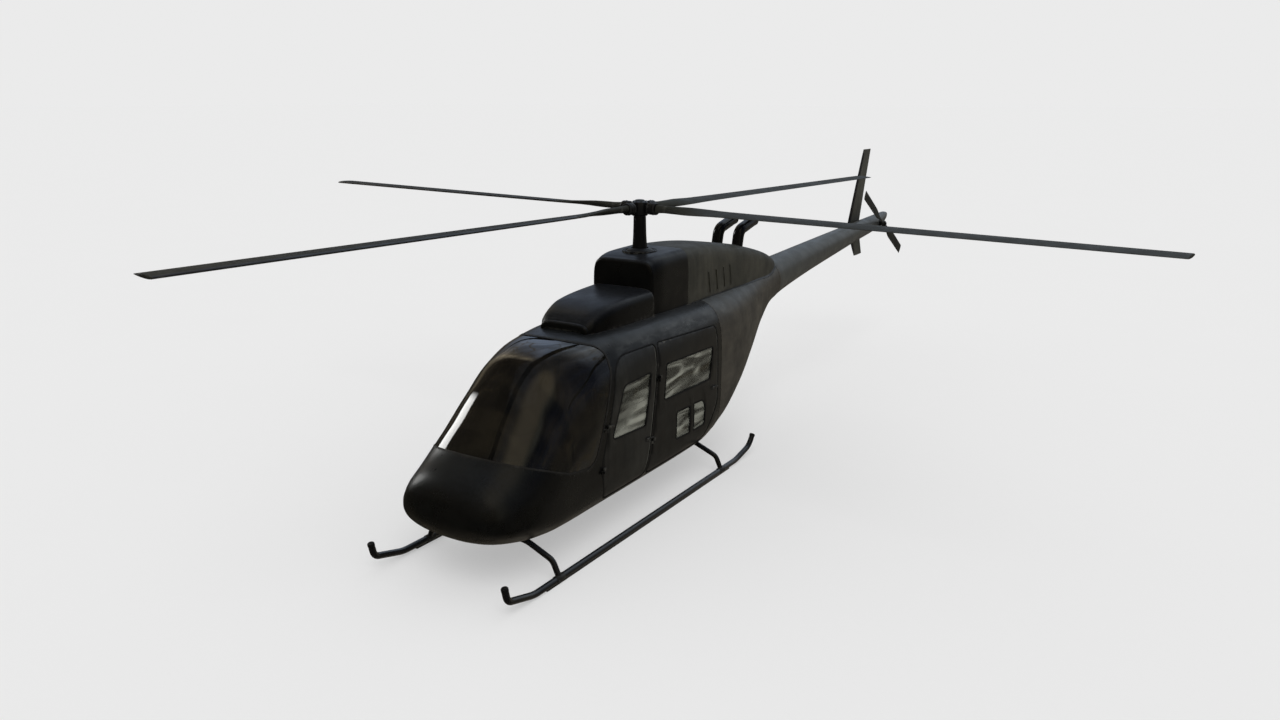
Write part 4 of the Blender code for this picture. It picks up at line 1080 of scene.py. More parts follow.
rotor = {
    "height": 2.879, "azimuth": 6.48, "radius": 4.985, "gripStart": 0.1203, "arm": 0.034,
    # profiles of round pieces: distance along the axis and radius
    "mast": [(2.3004, 0.060), (2.400, 0.077), (2.474, 0.077), (2.500, 0.074), (2.600, 0.068), (2.700, 0.065),
             (2.790, 0.0635), (2.7996, 0.060)],
    "head": [(2.8004, 0.074), (2.806, 0.080), (2.820, 0.088), (2.930, 0.088), (2.938, 0.084), (2.950, 0.060)],
    "cap": [(2.949, 0.050), (2.957, 0.048), (2.961, 0.040), (2.963, 0.022), (2.9635, 0.008)],
    "capBolts": 8, "capBolt": (0.0055, 0.007), "capCircle": (0.068, 0, 2.944),
    "grip": [(0.1203, 0.050), (0.123, 0.056), (0.128, 0.0600), (0.150, 0.0610), (0.152, 0.0590),
             (0.157, 0.0590), (0.159, 0.0610), (0.184, 0.0610), (0.186, 0.0590), (0.191, 0.0590),
             (0.193, 0.0605), (0.212, 0.0600), (0.217, 0.0570), (0.219, 0.0500)],
    "gripBolt": (0.006, 0.004), "gripBoltAt": (0.171, 0.0605),
    # the root between the sleeve and the blade, in the columns of the blade below
    "shank": [(0.205, 0.094, 0.062, 50.0), (0.250, 0.092, 0.060, 47.0), (0.290, 0.088, 0.058, 43.0),
              (0.3299, 0.085, 0.056, 40.0)],
    # distance from the hub's middle, chord, thickness and twist in degrees
    "blade": [(0.3303, 0.085, 0.056, 40.0), (0.500, 0.105, 0.052, 32.0), (0.720, 0.180, 0.040, 14.0),
              (0.950, 0.250, 0.032, 5.0), (1.400, 0.255, 0.030, 3.0), (4.985, 0.255, 0.028, 0.0)],
    "rootEnd": 1.40, "rootSpacing": 0.03, "spacing": 0.10, "points": 48, "edgeShare": 0.10, "edgeStart": 1.05,
}
tailRotor = {
    "hub": (0.180, 7.130, 1.970), "tilt": -29.5, "radius": 1.095,
    "gearbox": [(0.0, 0.070), (0.060, 0.068), (0.066, 0.074), (0.078, 0.074), (0.084, 0.066), (0.110, 0.062),
                (0.120, 0.050), (0.150, 0.030)],
    "head": [(0.1504, 0.026), (0.153, 0.030), (0.157, 0.045), (0.160, 0.047), (0.202, 0.047), (0.207, 0.044),
             (0.220, 0.030), (0.226, 0.022), (0.228, 0.012)],
    "blade": [(0.0453, 0.050, 0.024, 30.0), (0.200, 0.070, 0.022, 20.0), (0.420, 0.150, 0.018, 8.0),
              (1.095, 0.150, 0.012, 2.0)],
}


def bladeRows(table, start, end, spacing):
    columns = list(zip(*table))
    stations = np.linspace(start, end, max(2, round((end - start) / spacing)))
    return list(zip(stations, *(curveThrough(columns[0], column, stations) for column in columns[1:])))


def bladeSkin(name, table, points, grow=0.0, share=1.0):
    # blade along +X; share keeps only that much of the chord from the leading edge
    rings = []
    limit = math.acos(1 - 2 * share) if share < 1 else math.pi
    angles = np.linspace(-limit, limit, points, endpoint=share < 1)
    for distance, chord, thickness, twist in table:
        turn = Matrix.Rotation(math.radians(twist), 3, "X")
        rings.append([turn @ Vector((0, (chord / 2 + grow) * math.cos(a),
                                     (thickness / 2 + grow) * math.sin(a) * (1 + 0.35 * math.cos(a))))
                      + Vector((distance, 0, 0)) for a in angles])
    piece = skinned(name, rings)
    layer = piece.data.uv_layers.new(name="span")
    for loop in piece.data.loops:
        spot = piece.data.vertices[loop.vertex_index].co
        layer.data[loop.index].uv = (spot.x, spot.y)
    return piece


def boltHead(radius, height):
    profile = [(-0.002, radius * 1.35), (0.0012, radius * 1.35), (0.0013, radius), (height * 0.8, radius),
               (height, radius * 0.82)]
    return turned("bolt", profile, count=12)


def tipped(table, radius, narrower):
    # the table with one last, thinner row at the tip
    last = table[-1]
    return table + [(radius, last[1] - narrower, last[2] * 0.55, last[3])]


def buildMainRotor():
    height = rotor["height"]
    mast = turned("mast_tube", rotor["mast"], count=64)
    finished(mast, "main_rotor", ["mast"], look="darkMetal")
    hub = turned("rotor_head", rotor["head"], count=64)
    long, half = rotor["gripStart"] - body["gap"], rotor["arm"]
    for x, y in ((long, half), (half, long)):
        bar = box("bar", (-x, -y, height - half), (x, y, height + half))
        carve(hub, [softEdges(bar, 0.006, 3)], "UNION")
    hub.data.transform(turnOf(-rotor["azimuth"], "Z"))
    parts = [painted(piece, "darkMetal") for piece in (hub, turned("cap", rotor["cap"]))]
    for i in range(rotor["capBolts"]):
        bolt = boltHead(*rotor["capBolt"])
        around = turnOf(360 * i / rotor["capBolts"], "Z")
        bolt.data.transform(around @ Matrix.Translation(rotor["capCircle"]))
        parts.append(painted(bolt, "steel"))
    finished(joined("rotor_head", parts), "main_rotor", ["rotor_hub"])
    table = bladeRows(rotor["blade"], rotor["blade"][0][0], rotor["rootEnd"], rotor["rootSpacing"])
    table += bladeRows(rotor["blade"], rotor["rootEnd"] + rotor["spacing"], rotor["radius"] - 0.004,
                       rotor["spacing"])
    table = tipped(table, rotor["radius"], 0.006)
    for i in range(4):
        turn = turnOf(90 * i - rotor["azimuth"], "Z")
        place = Matrix.Translation((0, 0, height)) @ turn
        sleeve = painted(turned("sleeve", rotor["grip"], (1, 0, 0)), "darkMetal")
        root = painted(bladeSkin("root", rotor["shank"], rotor["points"]), "blade")
        parts = [sleeve, root]
        for side in (1, -1):
            bolt = painted(boltHead(*rotor["gripBolt"]), "steel")
            along, out = rotor["gripBoltAt"]
            spot = Matrix.Translation((along, 0, side * out))
            bolt.data.transform(spot @ turnOf(90 - 90 * side, "X"))
            parts.append(bolt)
        sleeve = joined(f"grip_{i + 1}", parts)
        blade = bladeSkin(f"blade_{i + 1}", table, rotor["points"])
        edgeTable = [row for row in table[:-1] if row[0] > rotor["edgeStart"]]
        strip = bladeSkin(f"blade_edge_{i + 1}", edgeTable, 17, 0.0008, rotor["edgeShare"])
        for piece, slot, replaced, look in (
                (sleeve, "dark_metal", [f"rotor_grip_{i + 1}"], None),
                (blade, "blade_paint", [f"rotor_blade_{i + 1}"], "blade"),
                (strip, "blade_paint", [], "finEdge")):
            piece.data.transform(place)
            finished(piece, "main_rotor", replaced, look=look)


def buildTailRotor():
    axis, middle = (1, 0, 0), (0, *tailRotor["hub"][1:])
    gearbox = turned("tail_gearbox_case", tailRotor["gearbox"], axis, middle)
    finished(gearbox, "airframe", ["tail_gearbox"], look="darkMetal")
    hub = turned("tail_rotor_head", tailRotor["head"], axis, middle)
    finished(hub, "tail_rotor", ["tail_rotor_hub"], look="darkMetal")
    table = bladeRows(tailRotor["blade"], tailRotor["blade"][0][0], tailRotor["radius"] - 0.003, 0.02)
    table = tipped(table, tailRotor["radius"], 0.004)
    for i in range(2):
        blade = bladeSkin(f"tail_blade_{i + 1}", table, 40)
        lay = turnOf(tailRotor["tilt"] + 180 * i, "X") @ turnOf(90, "Z") @ turnOf(90, "X")
        blade.data.transform(Matrix.Translation(tailRotor["hub"]) @ lay)
        finished(blade, "tail_rotor", [f"tail_rotor_blade_{i + 1}"], look="blade")


collar = {
    "boot": [(2.40, 0.135), (2.447, 0.135), (2.454, 0.130), (2.460, 0.118), (2.472, 0.102), (2.474, 0.096),
             (2.474, 0.0905), (2.40, 0.0905)],
    # raised rings in the cover's top: their radii, and height and half width along the section
    "rings": (0.155, 0.178),
    "ring": [(2.36, 0.004), (2.4495, 0.004), (2.4505, 0.0025), (2.4505, -0.0025), (2.4495, -0.004),
             (2.36, -0.004)],
}


def buildCollar():
    ring = openRing(turned("mast_boot", collar["boot"], count=64))
    carve(ring, [cowlingLoft("jacket", cowling["mast"], -body["gap"])])
    rings = []
    for radius in collar["rings"]:
        profile = [(height, radius + width) for height, width in collar["ring"]]
        band = openRing(turned("band", profile, count=72))
        rings.append(carve(band, [cowlingLoft("jacket", cowling["mast"], 0.001)]))
    finished(joined("mast_boot", [ring, *rings]), "airframe", ["mast_collar"],
             look="roof")


for build in (buildGear, buildMainRotor, buildTailRotor, buildCollar):
    build()
    print("built:", build.__name__[5:])


# Cabin fittings

cushions = {
    # low and high corner, heights of its sewn seams: along x for channels, z for a cross seam
    "front_cushion": {"low": (0.080, -1.480, 0.6404), "high": (0.540, -1.030, 0.750), "crown": "z",
                      "channels": (0.195, 0.310, 0.425), "cross": -1.400},
    "front_back": {"low": (0.080, -1.0296, 0.6404), "high": (0.540, -0.910, 1.300), "crown": "y",
                   "channels": (0.195, 0.310, 0.425), "cross": 1.080},
    "rear_cushion": {"low": (-0.545, -0.220, 0.6204), "high": (0.545, 0.280, 0.730), "crown": "z",
                     "channels": (-0.363, -0.182, 0.0, 0.182, 0.363), "cross": -0.140},
    "rear_back": {"low": (-0.545, 0.2804, 0.6204), "high": (0.545, 0.420, 1.280), "crown": "y",
                  "channels": (-0.363, -0.182, 0.0, 0.182, 0.363), "cross": 1.060},
}
padding = {
    "start": 0.014, "base": 0.0008, "edge": 0.030, "voxel": 0.006, "pressure": 4.0, "frames": 20,
    "cap": 0.013, "seamDepth": 0.008, "seamWidth": 0.007, "border": 0.045, "fade": 0.02, "fill": 0.75,
    "piping": 0.0042, "pipingStep": 0.012, "pipingSunk": 0.001, "pipingIn": {"z": 0.030, "y": 0.032},
    "clear": 0.0006,
}


def pointsOf(piece):
    values = np.empty(len(piece.data.vertices) * 3)
    piece.data.vertices.foreach_get("co", values)
    return values.reshape(-1, 3)


def setPoints(piece, points):
    piece.data.vertices.foreach_set("co", np.ascontiguousarray(points, float).ravel())
    piece.data.update()


def normalsOf(piece):
    values = np.empty(len(piece.data.vertices) * 3)
    piece.data.vertex_normals.foreach_get("vector", values)
    return values.reshape(-1, 3)


def swollen(piece):
    # a few frames of cloth under pressure, each point's travel eased off towards the cap
    rest = pointsOf(piece)
    cloth = piece.modifiers.new("cloth", "CLOTH")
    cloth.settings.use_pressure = True
    cloth.settings.uniform_pressure_force = padding["pressure"]
    cloth.settings.effector_weights.gravity = 0.0
    cloth.point_cache.frame_start, cloth.point_cache.frame_end = 1, padding["frames"]
    for step in range(1, padding["frames"] + 1):
        bpy.context.scene.frame_set(step)
    baked(piece)
    bpy.context.scene.frame_set(1)
    moved = pointsOf(piece) - rest
    travel = np.maximum(np.linalg.norm(moved, axis=1, keepdims=True), 1e-9)
    setPoints(piece, rest + moved / travel * padding["cap"] * np.tanh(travel / padding["cap"]))


def seamAt(seams, across, along, low, high):
    # how deep each point lies in a seam that fades out before the cushion's border
    start, end = low + padding["border"], high - padding["border"]
    inside = np.clip((along - start) / padding["fade"], 0, 1) * np.clip((end - along) / padding["fade"], 0, 1)
    return np.max([inside * np.exp(-((across - seam) / padding["seamWidth"]) ** 2) for seam in seams], axis=0)


def sewn(piece, spec):
    # channels and a cross seam pressed into the crowned face
    points, normals = pointsOf(piece), normalsOf(piece)
    low, high = spec["low"], spec["high"]
    up, along = (2, 1) if spec["crown"] == "z" else (1, 2)
    facing = np.clip(normals[:, up] if up == 2 else -normals[:, up], 0, 1)
    x, length = points[:, 0], points[:, along]
    depth = np.maximum(seamAt(spec["channels"], x, length, low[along], high[along]),
                       seamAt([spec["cross"]], length, x, low[0], high[0]))
    setPoints(piece, points - normals * (depth * facing * padding["seamDepth"])[:, None])


def surfaceOf(piece):
    # the piece's faces, ready to be met by rays
    mesh = piece.data
    return BVHTree.FromPolygons([v.co for v in mesh.vertices], [p.vertices for p in mesh.polygons])


def piped(piece, spec):
    # a cord sewn round the edge of the crowned face
    upright = spec["crown"] == "y"
    centre = [(a + b) / 2 for a, b in zip(spec["low"], spec["high"])]
    if upright:
        centre[1] = spec["low"][1] + padding["pipingIn"]["y"]
    else:
        centre[2] = spec["high"][2] - padding["pipingIn"]["z"]
    surface = surfaceOf(piece)
    path = []
    for a in np.linspace(0, 2 * math.pi, 720, endpoint=False):
        c, s = math.cos(a), math.sin(a)
        ray = Vector((c, 0, s) if upright else (c, s, 0))
        spot = surface.ray_cast(Vector(centre), ray)[0]
        if spot is not None:
            path.append(spot - ray * padding["pipingSunk"])
    path = evenly(path, padding["pipingStep"], loop=True)
    side = (0, 1, 0) if upright else (0, 0, 1)
    cord = swept(f"{piece.name}_piping", path, side, padding["piping"], 8, loop=True)
    # it never leaves the space of the cushion's solid
    low, high = np.array(spec["low"]) + padding["clear"], np.array(spec["high"]) - padding["clear"]
    setPoints(cord, np.clip(pointsOf(cord), low, high))
    return cord


def buildSeats():
    for name, spec in cushions.items():
        low, high = Vector(spec["low"]), Vector(spec["high"])
        start = padding["start"]
        rise = Vector((start, start, padding["base"]))
        pad = softEdges(box(name, low + rise, high - Vector((start, start, start))), padding["edge"], 5)
        remesh = pad.modifiers.new("voxels", "REMESH")
        remesh.mode = "VOXEL"
        remesh.voxel_size = padding["voxel"]
        baked(pad)
        swollen(pad)
        setPoints(pad, np.maximum(pointsOf(pad), np.array([-9, -9, low.z + padding["base"]])))
        sewn(pad, spec)
        cord = piped(pad, spec)
        made = {name: (pad, cord)}
        if name.startswith("front"):
            twin = (mirroredPiece(pad, "twin"), mirroredPiece(cord, "twin_piping"))
            made = {f"{name}_port": (pad, cord), f"{name}_starboard": twin}
        for node, (cloth, edge) in made.items():
            cloth.name, edge.name = f"{node}_pad", f"{node}_piping"
            finished(cloth, "airframe", [node], 80, "cloth")
            finished(edge, "airframe", look="trim")
        print("seat:", name)


seatBases = {
    "front": {"low": (-0.500, -1.480, 0.4004), "high": (0.500, -0.900, 0.640), "doors": (-0.250, 0.250),
              "half": 0.190},
    "rear": {"low": (-0.450, -0.220, 0.4004), "high": (0.450, 0.400, 0.620), "doors": (-0.220, 0.220),
             "half": 0.180},
}
basePanel = {
    "recess": 0.005, "lid": 0.016, "kick": 0.030, "top": 0.045, "proud": 0.0045,
    "latch": [(-0.001, 0.014), (0.0012, 0.014), (0.0014, 0.010)],
}


def buildSeatBases():
    # a box with a lid, a kick strip and two access doors in its front face
    for row, spec in seatBases.items():
        low, high = Vector(spec["low"]), Vector(spec["high"])
        inset = Vector((basePanel["recess"], basePanel["recess"], 0))
        body = softEdges(box("body", low + inset, high - inset - Vector((0, 0, basePanel["lid"]))), 0.004)
        lid = softEdges(box("lid", (low.x, low.y, high.z - basePanel["lid"] + 0.0005), high), 0.004)
        front = low.y + basePanel["proud"]
        kick = box("kick", (low.x + 0.02, low.y + 0.001, low.z), (high.x - 0.02, front, low.z + 0.026))
        parts = [painted(body, "lining"), painted(lid, "trim"), painted(kick, "darkMetal")]
        for x in spec["doors"]:
            panel = box("panel", (x - spec["half"], low.y + 0.0015, low.z + basePanel["kick"]),
                        (x + spec["half"], front, high.z - basePanel["top"]))
            parts.append(painted(softEdges(panel, 0.0012), "trim"))
            spot = (x, low.y + 0.0018, high.z - basePanel["top"] - 0.022)
            latch = turned("latch", basePanel["latch"], (0, -1, 0), spot, 24)
            parts.append(painted(latch, "steel"))
        finished(joined(f"seat_base_{row}_look", parts), "airframe", [f"seat_base_{row}"])


console = {
    "pedestal": ((-0.110, -2.420, 0.4004), (0.110, -1.640, 0.694)), "halfWidth": 0.400,
    "panel": ((-2.430, 0.690), (-2.200, 0.690), (-2.150, 1.060), (-2.430, 1.060)),
    "columns": (-0.310, -0.186, -0.062, 0.062, 0.186, 0.310), "levels": (0.115, 0.245),
    "shield": ((-0.425, -2.460, 1.056), (0.425, -2.095, 1.070)),
}
dial = {
    "radius": 0.046, "ticks": 12, "sweep": 270,
    # height above the panel, and how far inside the dial's radius
    "rim": [(-0.001, 0.0), (0.005, 0.0), (0.0065, 0.002), (0.005, 0.006), (-0.001, 0.006)],
    "face": [(-0.001, 0.006), (0.0015, 0.006), (0.0017, 0.008)],
    "hand": (0.0012, 0.0006, 0.66), "handHeight": (0.0022, 0.0030),
    "tick": (0.0010, 0.68, 0.82), "tickHeight": (0.0014, 0.0022),
    "pivot": [(0.0015, 0.004), (0.0036, 0.004), (0.004, 0.0028)],
}
switch = {
    "count": 9, "along": 0.030, "margin": 0.08, "tilt": 18,
    "nut": [(-0.001, 0.007), (0.003, 0.007), (0.0035, 0.005)],
    "bat": [(0.002, 0.0022), (0.012, 0.0026), (0.014, 0.0018)],
}
radio = {
    "stations": (-2.08, -1.93, -1.78), "case": ((-0.085, -0.062, 0.690), (0.085, 0.062, 0.698)),
    "glass": ((-0.045, -0.030, 0.6975), (0.045, 0.012, 0.6986)),
    "knobs": (-0.066, 0.066), "knob": [(0.697, 0.011), (0.6995, 0.011), (0.700, 0.009)],
}


def fasciaPlace(x, along):
    # a place on the sloping face of the panel, its own z standing out of it
    (lowY, lowZ), (highY, highZ) = console["panel"][1:3]
    slope = Vector((0, highY - lowY, highZ - lowZ)).normalized()
    out = Vector((0, slope.z, -slope.y))
    spot = Vector((x, lowY, lowZ)) + slope * along
    across = slope.cross(out)
    return Matrix.Translation(spot) @ Matrix((across, slope, out)).transposed().to_4x4()


def dialParts(x, along, needle):
    radius = dial["radius"]
    rim = openRing(turned("rim", [(height, radius - inset) for height, inset in dial["rim"]], count=40))
    face = turned("face", [(height, radius - inset) for height, inset in dial["face"]], count=40)
    foot, point, reach = dial["hand"]
    outline = [(-foot, -0.006), (foot, -0.006), (point, radius * reach), (-point, radius * reach)]
    hand = prism("hand", outline, *dial["handHeight"])
    hand.data.transform(turnOf(needle, "Z") @ turnOf(-90, "Y"))
    pivot = turned("pivot", dial["pivot"], count=20)
    parts = [painted(rim, "trim"), painted(face, "dial"), painted(hand, "marks"), painted(pivot, "trim")]
    half, start, end = dial["tick"]
    low, high = dial["tickHeight"]
    for k in range(dial["ticks"]):
        tick = box("tick", (-half, radius * start, low), (half, radius * end, high))
        angle = k * dial["sweep"] / (dial["ticks"] - 1) - dial["sweep"] / 2
        tick.data.transform(turnOf(angle, "Z"))
        parts.append(painted(tick, "marks"))
    for part in parts:
        part.data.transform(fasciaPlace(x, along))
    return parts


def switchParts(i):
    span = 2 * console["halfWidth"] - 2 * switch["margin"]
    x = -console["halfWidth"] + switch["margin"] + i * span / (switch["count"] - 1)
    nut = turned("nut", switch["nut"], count=18)
    bat = turned("bat", switch["bat"], count=12)
    tilt = switch["tilt"] if i % 3 else -switch["tilt"]
    bat.data.transform(turnOf(tilt, "X"))
    for part in (nut, bat):
        part.data.transform(fasciaPlace(x, switch["along"]))
    return [painted(nut, "steel"), painted(bat, "steel")]


def radioParts(station):
    # a box let into the pedestal's top, with its display and two knobs
    case = softEdges(boxAt("case", radio["case"], y=station), 0.0015)
    glass = boxAt("glass", radio["glass"], y=station)
    knobs = [turned("knob", radio["knob"], (0, 0, 1), (x, station, 0), 20) for x in radio["knobs"]]
    return [painted(case, "dial"), painted(glass, "screenGlow")] + [painted(knob, "trim") for knob in knobs]


def buildConsole():
    half = console["halfWidth"]
    pedestal = softEdges(box("pedestal", *console["pedestal"]), 0.008, 3)
    panel = softEdges(prism("panel", console["panel"], -half, half), 0.010, 3)
    shield = softEdges(box("shield", *console["shield"]), 0.005, 3)
    parts = [painted(pedestal, "trim"), painted(panel, "trim"), painted(shield, "lining")]
    for i, x in enumerate(console["columns"]):
        for j, along in enumerate(console["levels"]):
            # each hand shows something else
            parts += dialParts(x, along, (47 * i + 113 * j + 200) % dial["sweep"] - dial["sweep"] / 2)
    for i in range(switch["count"]):
        parts += switchParts(i)
    for station in radio["stations"]:
        parts += radioParts(station)
    finished(joined("instrument_console_look", parts), "airframe", ["instrument_console"], 40)


stick = {
    "x": 0.310, "radius": 0.011, "sides": 16,
    "path": [(-1.760, 0.402), (-1.760, 0.520), (-1.735, 0.600), (-1.655, 0.680), (-1.640, 0.770),
             (-1.655, 0.830)],
    "grip": [(-1.655, 0.815), (-1.660, 0.850), (-1.668, 0.890), (-1.672, 0.925)],
    "gripRadii": (0.014, 0.019, 0.021, 0.017),
    "boot": [(0.401, 0.050), (0.410, 0.048), (0.425, 0.034), (0.440, 0.030), (0.452, 0.020), (0.462, 0.014)],
}
pedal = {
    "x": (0.235, 0.385), "station": -2.130, "radius": 0.008,
    "arm": [(0.03, 0.401), (0.01, 0.460), (0.0, 0.520)],
    "pad": ((-0.035, -0.008, 0.500), (0.035, 0.004, 0.570)),
}


def buildControls():
    # a stick before each front seat and two pedals at its foot
    x, side = stick["x"], (1, 0, 0)
    grip = swept("grip", [(x, *p) for p in stick["grip"]], side, stick["gripRadii"], stick["sides"])
    count = len(stick["path"])
    steps = np.linspace(0, count - 1, 31)
    bend, rise = (curveThrough(range(count), column, steps) for column in zip(*stick["path"]))
    rod = swept("rod", [(x, y, z) for y, z in zip(bend, rise)], side, stick["radius"], stick["sides"])
    boot = turned("boot", stick["boot"], (0, 0, 1), (x, stick["path"][0][0], 0), 32)
    parts = [painted(grip, "rubber"), painted(rod, "darkMetal"), painted(boot, "rubber")]
    for x in pedal["x"]:
        line = [(x, pedal["station"] + back, height) for back, height in pedal["arm"]]
        arm = swept("arm", line, side, pedal["radius"], 12)
        pad = softEdges(boxAt("pad", pedal["pad"], x, pedal["station"]), 0.003)
        parts += [painted(arm, "darkMetal"), painted(pad, "steel")]
    both = parts + [mirroredPiece(part, "copy") for part in parts]
    finished(joined("flight_controls", both), "airframe")


def buildBlocks():
    # heavy blocks under the covers keep their solids
    for name in ("engine", "transmission"):
        painted(frame["nodes"][name], "bareMetal")


for build in (buildSeatBases, buildConsole, buildControls, buildSeats, buildBlocks):
    build()
    print("built:", build.__name__[5:])


# Fasteners: small turned heads set on the finished surfaces by a node tree

def fastenerTree():
    tree = bpy.data.node_groups.new("fasteners", "GeometryNodeTree")
    sockets = {"Spots": "Geometry", "Head Radius": "Float", "Head Height": "Float", "Seed": "Int",
               "Finish": "Material"}
    made = {name: tree.interface.new_socket(name=name, in_out="INPUT", socket_type="NodeSocket" + kind)
            for name, kind in sockets.items()}
    tree.interface.new_socket(name="Heads", in_out="OUTPUT", socket_type="NodeSocketGeometry")
    given = nodeOf(tree, "NodeGroupInput").outputs
    head = nodeOf(tree, "GeometryNodeMeshCone", {
        "Vertices": 10, "Radius Top": times(tree, given["Head Radius"], 0.62),
        "Radius Bottom": given["Head Radius"], "Depth": given["Head Height"]}).outputs["Mesh"]
    facing = nodeOf(tree, "GeometryNodeInputNamedAttribute", {"Name": "facing"},
                    data_type="FLOAT_VECTOR").outputs[0]
    aligned = nodeOf(tree, "FunctionNodeAlignRotationToVector", {"Vector": facing}, axis="Z").outputs[0]
    spin = nodeOf(tree, "FunctionNodeRandomValue", {"Seed": given["Seed"]}, data_type="FLOAT").outputs[1]
    own = nodeOf(tree, "FunctionNodeAxisAngleToRotation", {
        "Axis": (0, 0, 1), "Angle": times(tree, spin, 2 * math.pi)}).outputs[0]
    turn = nodeOf(tree, "FunctionNodeRotateRotation", {"Rotation": aligned, "Rotate By": own},
                  rotation_space="LOCAL").outputs[0]
    heads = nodeOf(tree, "GeometryNodeInstanceOnPoints", {
        "Points": given["Spots"], "Instance": head, "Rotation": turn}).outputs[0]
    heads = nodeOf(tree, "GeometryNodeRealizeInstances", {"Geometry": heads}).outputs[0]
    heads = nodeOf(tree, "GeometryNodeSetMaterial", {
        "Geometry": heads, "Material": given["Finish"]}).outputs[0]
    nodeOf(tree, "NodeGroupOutput", {"Heads": heads})
    return tree, {name: socket.identifier for name, socket in made.items()}


# kinds: radius and height of the head; rows: where they stand and how far apart
fastener = {
    "sunk": 0.0006,
    "kinds": {"screw": (0.0042, 0.0022), "rivet": (0.0026, 0.0014), "bolt": (0.0075, 0.0050)},
    "windscreen": {"out": 0.015, "spacing": 0.060, "span": 0.51, "low": 1.062, "roof": -1.582},
    "straps": {"bulkhead": (0.009, 0.045), "boomRoot": (0.014, 0.035)},
    "boom": {"stations": (3.75, 4.60, 5.45, 6.30, 7.00), "spacing": 0.028},
    "cowling": {"spacing": 0.085, "first": 0.05, "last": 0.03, "out": 0.45},
    "window": (0.014, 0.062),
    "fin": {"heights": (1.62, 1.95, 2.30, 2.65, 3.00), "shares": (0.24, 0.95, 0.075)},
    "saddle": 0.038, "base": {"side": 0.015, "low": 0.045, "high": 0.060},
}
fastenerGroup, fastenerSockets = fastenerTree()


def cast(pieces, rays):
    # spots and normals where rays, given at stations, first meet the pieces
    surfaces = [surfaceOf(piece) for piece in pieces]
    found = []
    for origin, direction in rays:
        start = Vector(origin) + Vector((0, mastY, 0))
        met = [surface.ray_cast(start, Vector(direction)) for surface in surfaces]
        met = [hit for hit in met if hit[0] is not None]
        if met:
            spot, normal = min(met, key=lambda hit: hit[3])[:2]
            found.append((spot, normal if normal.dot(Vector(direction)) < 0 else -normal))
    return found


def setFasteners(name, carrier, pieces, rays, kind, look="steel", seed=1):
    # one set of heads on the named pieces, as a plain mesh that rides on the carrier
    radius, height = fastener["kinds"][kind]
    spots = cast([bpy.data.objects[piece] for piece in pieces], rays)
    mesh = bpy.data.meshes.new(name)
    mesh.from_pydata([spot - normal * fastener["sunk"] for spot, normal in spots], [], [])
    facing = mesh.attributes.new("facing", "FLOAT_VECTOR", "POINT")
    for i, (spot, normal) in enumerate(spots):
        facing.data[i].vector = normal
    piece = linked(name, mesh)
    modifier = piece.modifiers.new("fasteners", "NODES")
    modifier.node_group = fastenerGroup
    values = {"Head Radius": radius, "Head Height": height, "Seed": seed, "Finish": finish[look]}
    for key, value in values.items():
        modifier[fastenerSockets[key]] = value
    baked(piece)
    piece.data.shade_smooth()
    piece.data.set_sharp_from_angle(angle=math.radians(35))
    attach(piece, carrier)
    print("fasteners:", name, len(spots))


def sideRays(outline, spacing, sides=(1, -1), loop=True):
    # rays towards the middle plane from the points of an outline
    path = evenly([(0, p[0], p[1]) for p in outline], spacing, loop)
    return [((side * 1.2, p.y, p.z), (-side, 0, 0)) for side in sides for p in path]


def ringRays(station, spacing):
    # rays inwards round the body's section
    section = bodySection(station)
    ring = evenly(ringPoints(section, 96), spacing, loop=True)
    middle = Vector((0, station, section.widest))
    return [(p + (p - middle).normalized() * 0.2, (middle - p).normalized()) for p in ring]


def windscreenRays():
    spec = fastener["windscreen"]
    rays = sideRays(rounded(grown(windscreenOutline, spec["out"])), spec["spacing"])
    rays = [ray for ray in rays if -2.70 < ray[0][1] < -1.36 and ray[0][2] < 1.80]
    across = np.arange(-spec["span"], spec["span"] + 0.01, spec["spacing"])
    rays += [((x, -3.6, spec["low"]), (0, 1, 0)) for x in across]
    return rays + [((x, spec["roof"], 2.6), (0, 0, -1)) for x in across]


def strapRays():
    # two rows on each strap, one on each side of the joint under it
    rays = []
    for name, (offset, spacing) in fastener["straps"].items():
        for side in (-offset, offset):
            rays += ringRays(body[name] + side, spacing)
    return rays


def cowlingRays():
    spec = fastener["cowling"]
    rays = []
    for name in ("forward", "mast", "engine"):
        table = cowling[name]
        stations = np.arange(table[0].y + spec["first"], table[-1].y - spec["last"], spec["spacing"])
        for section in sectionsAt(table, stations):
            x = section.halfWidth + cowling["flange"] * spec["out"]
            rays += [((side * x, section.y, 2.6), (0, 0, -1)) for side in (1, -1)]
    return rays


def finRays():
    rays = []
    columns = list(zip(*fin["rows"]))
    for z in fastener["fin"]["heights"]:
        leading, chord = (np.interp(z, columns[0], column) for column in columns[1:3])
        for share in np.arange(*fastener["fin"]["shares"]):
            rays += [((side * 1.0, leading + chord * share, z), (-side, 0, 0)) for side in (1, -1)]
    return rays


def saddleRays():
    rays = []
    for station in crossTube["stations"].values():
        for y in (station - fastener["saddle"], station + fastener["saddle"]):
            for side in (1, -1):
                x, z = side * gear["x"], gear["height"]
                rays += [((x + side * 0.2, y, z), (-side, 0, 0)), ((x - side * 0.2, y, z), (side, 0, 0))]
    return rays


def baseRays():
    # four screws in each access door of the seat boxes
    margin = fastener["base"]
    rays = []
    for spec in seatBases.values():
        reach = spec["half"] - margin["side"]
        heights = (spec["low"][2] + margin["low"], spec["high"][2] - margin["high"])
        ahead = spec["low"][1] - 0.1
        for x in spec["doors"]:
            rays += [((x + side, ahead, z), (0, 1, 0)) for side in (-reach, reach) for z in heights]
    return rays


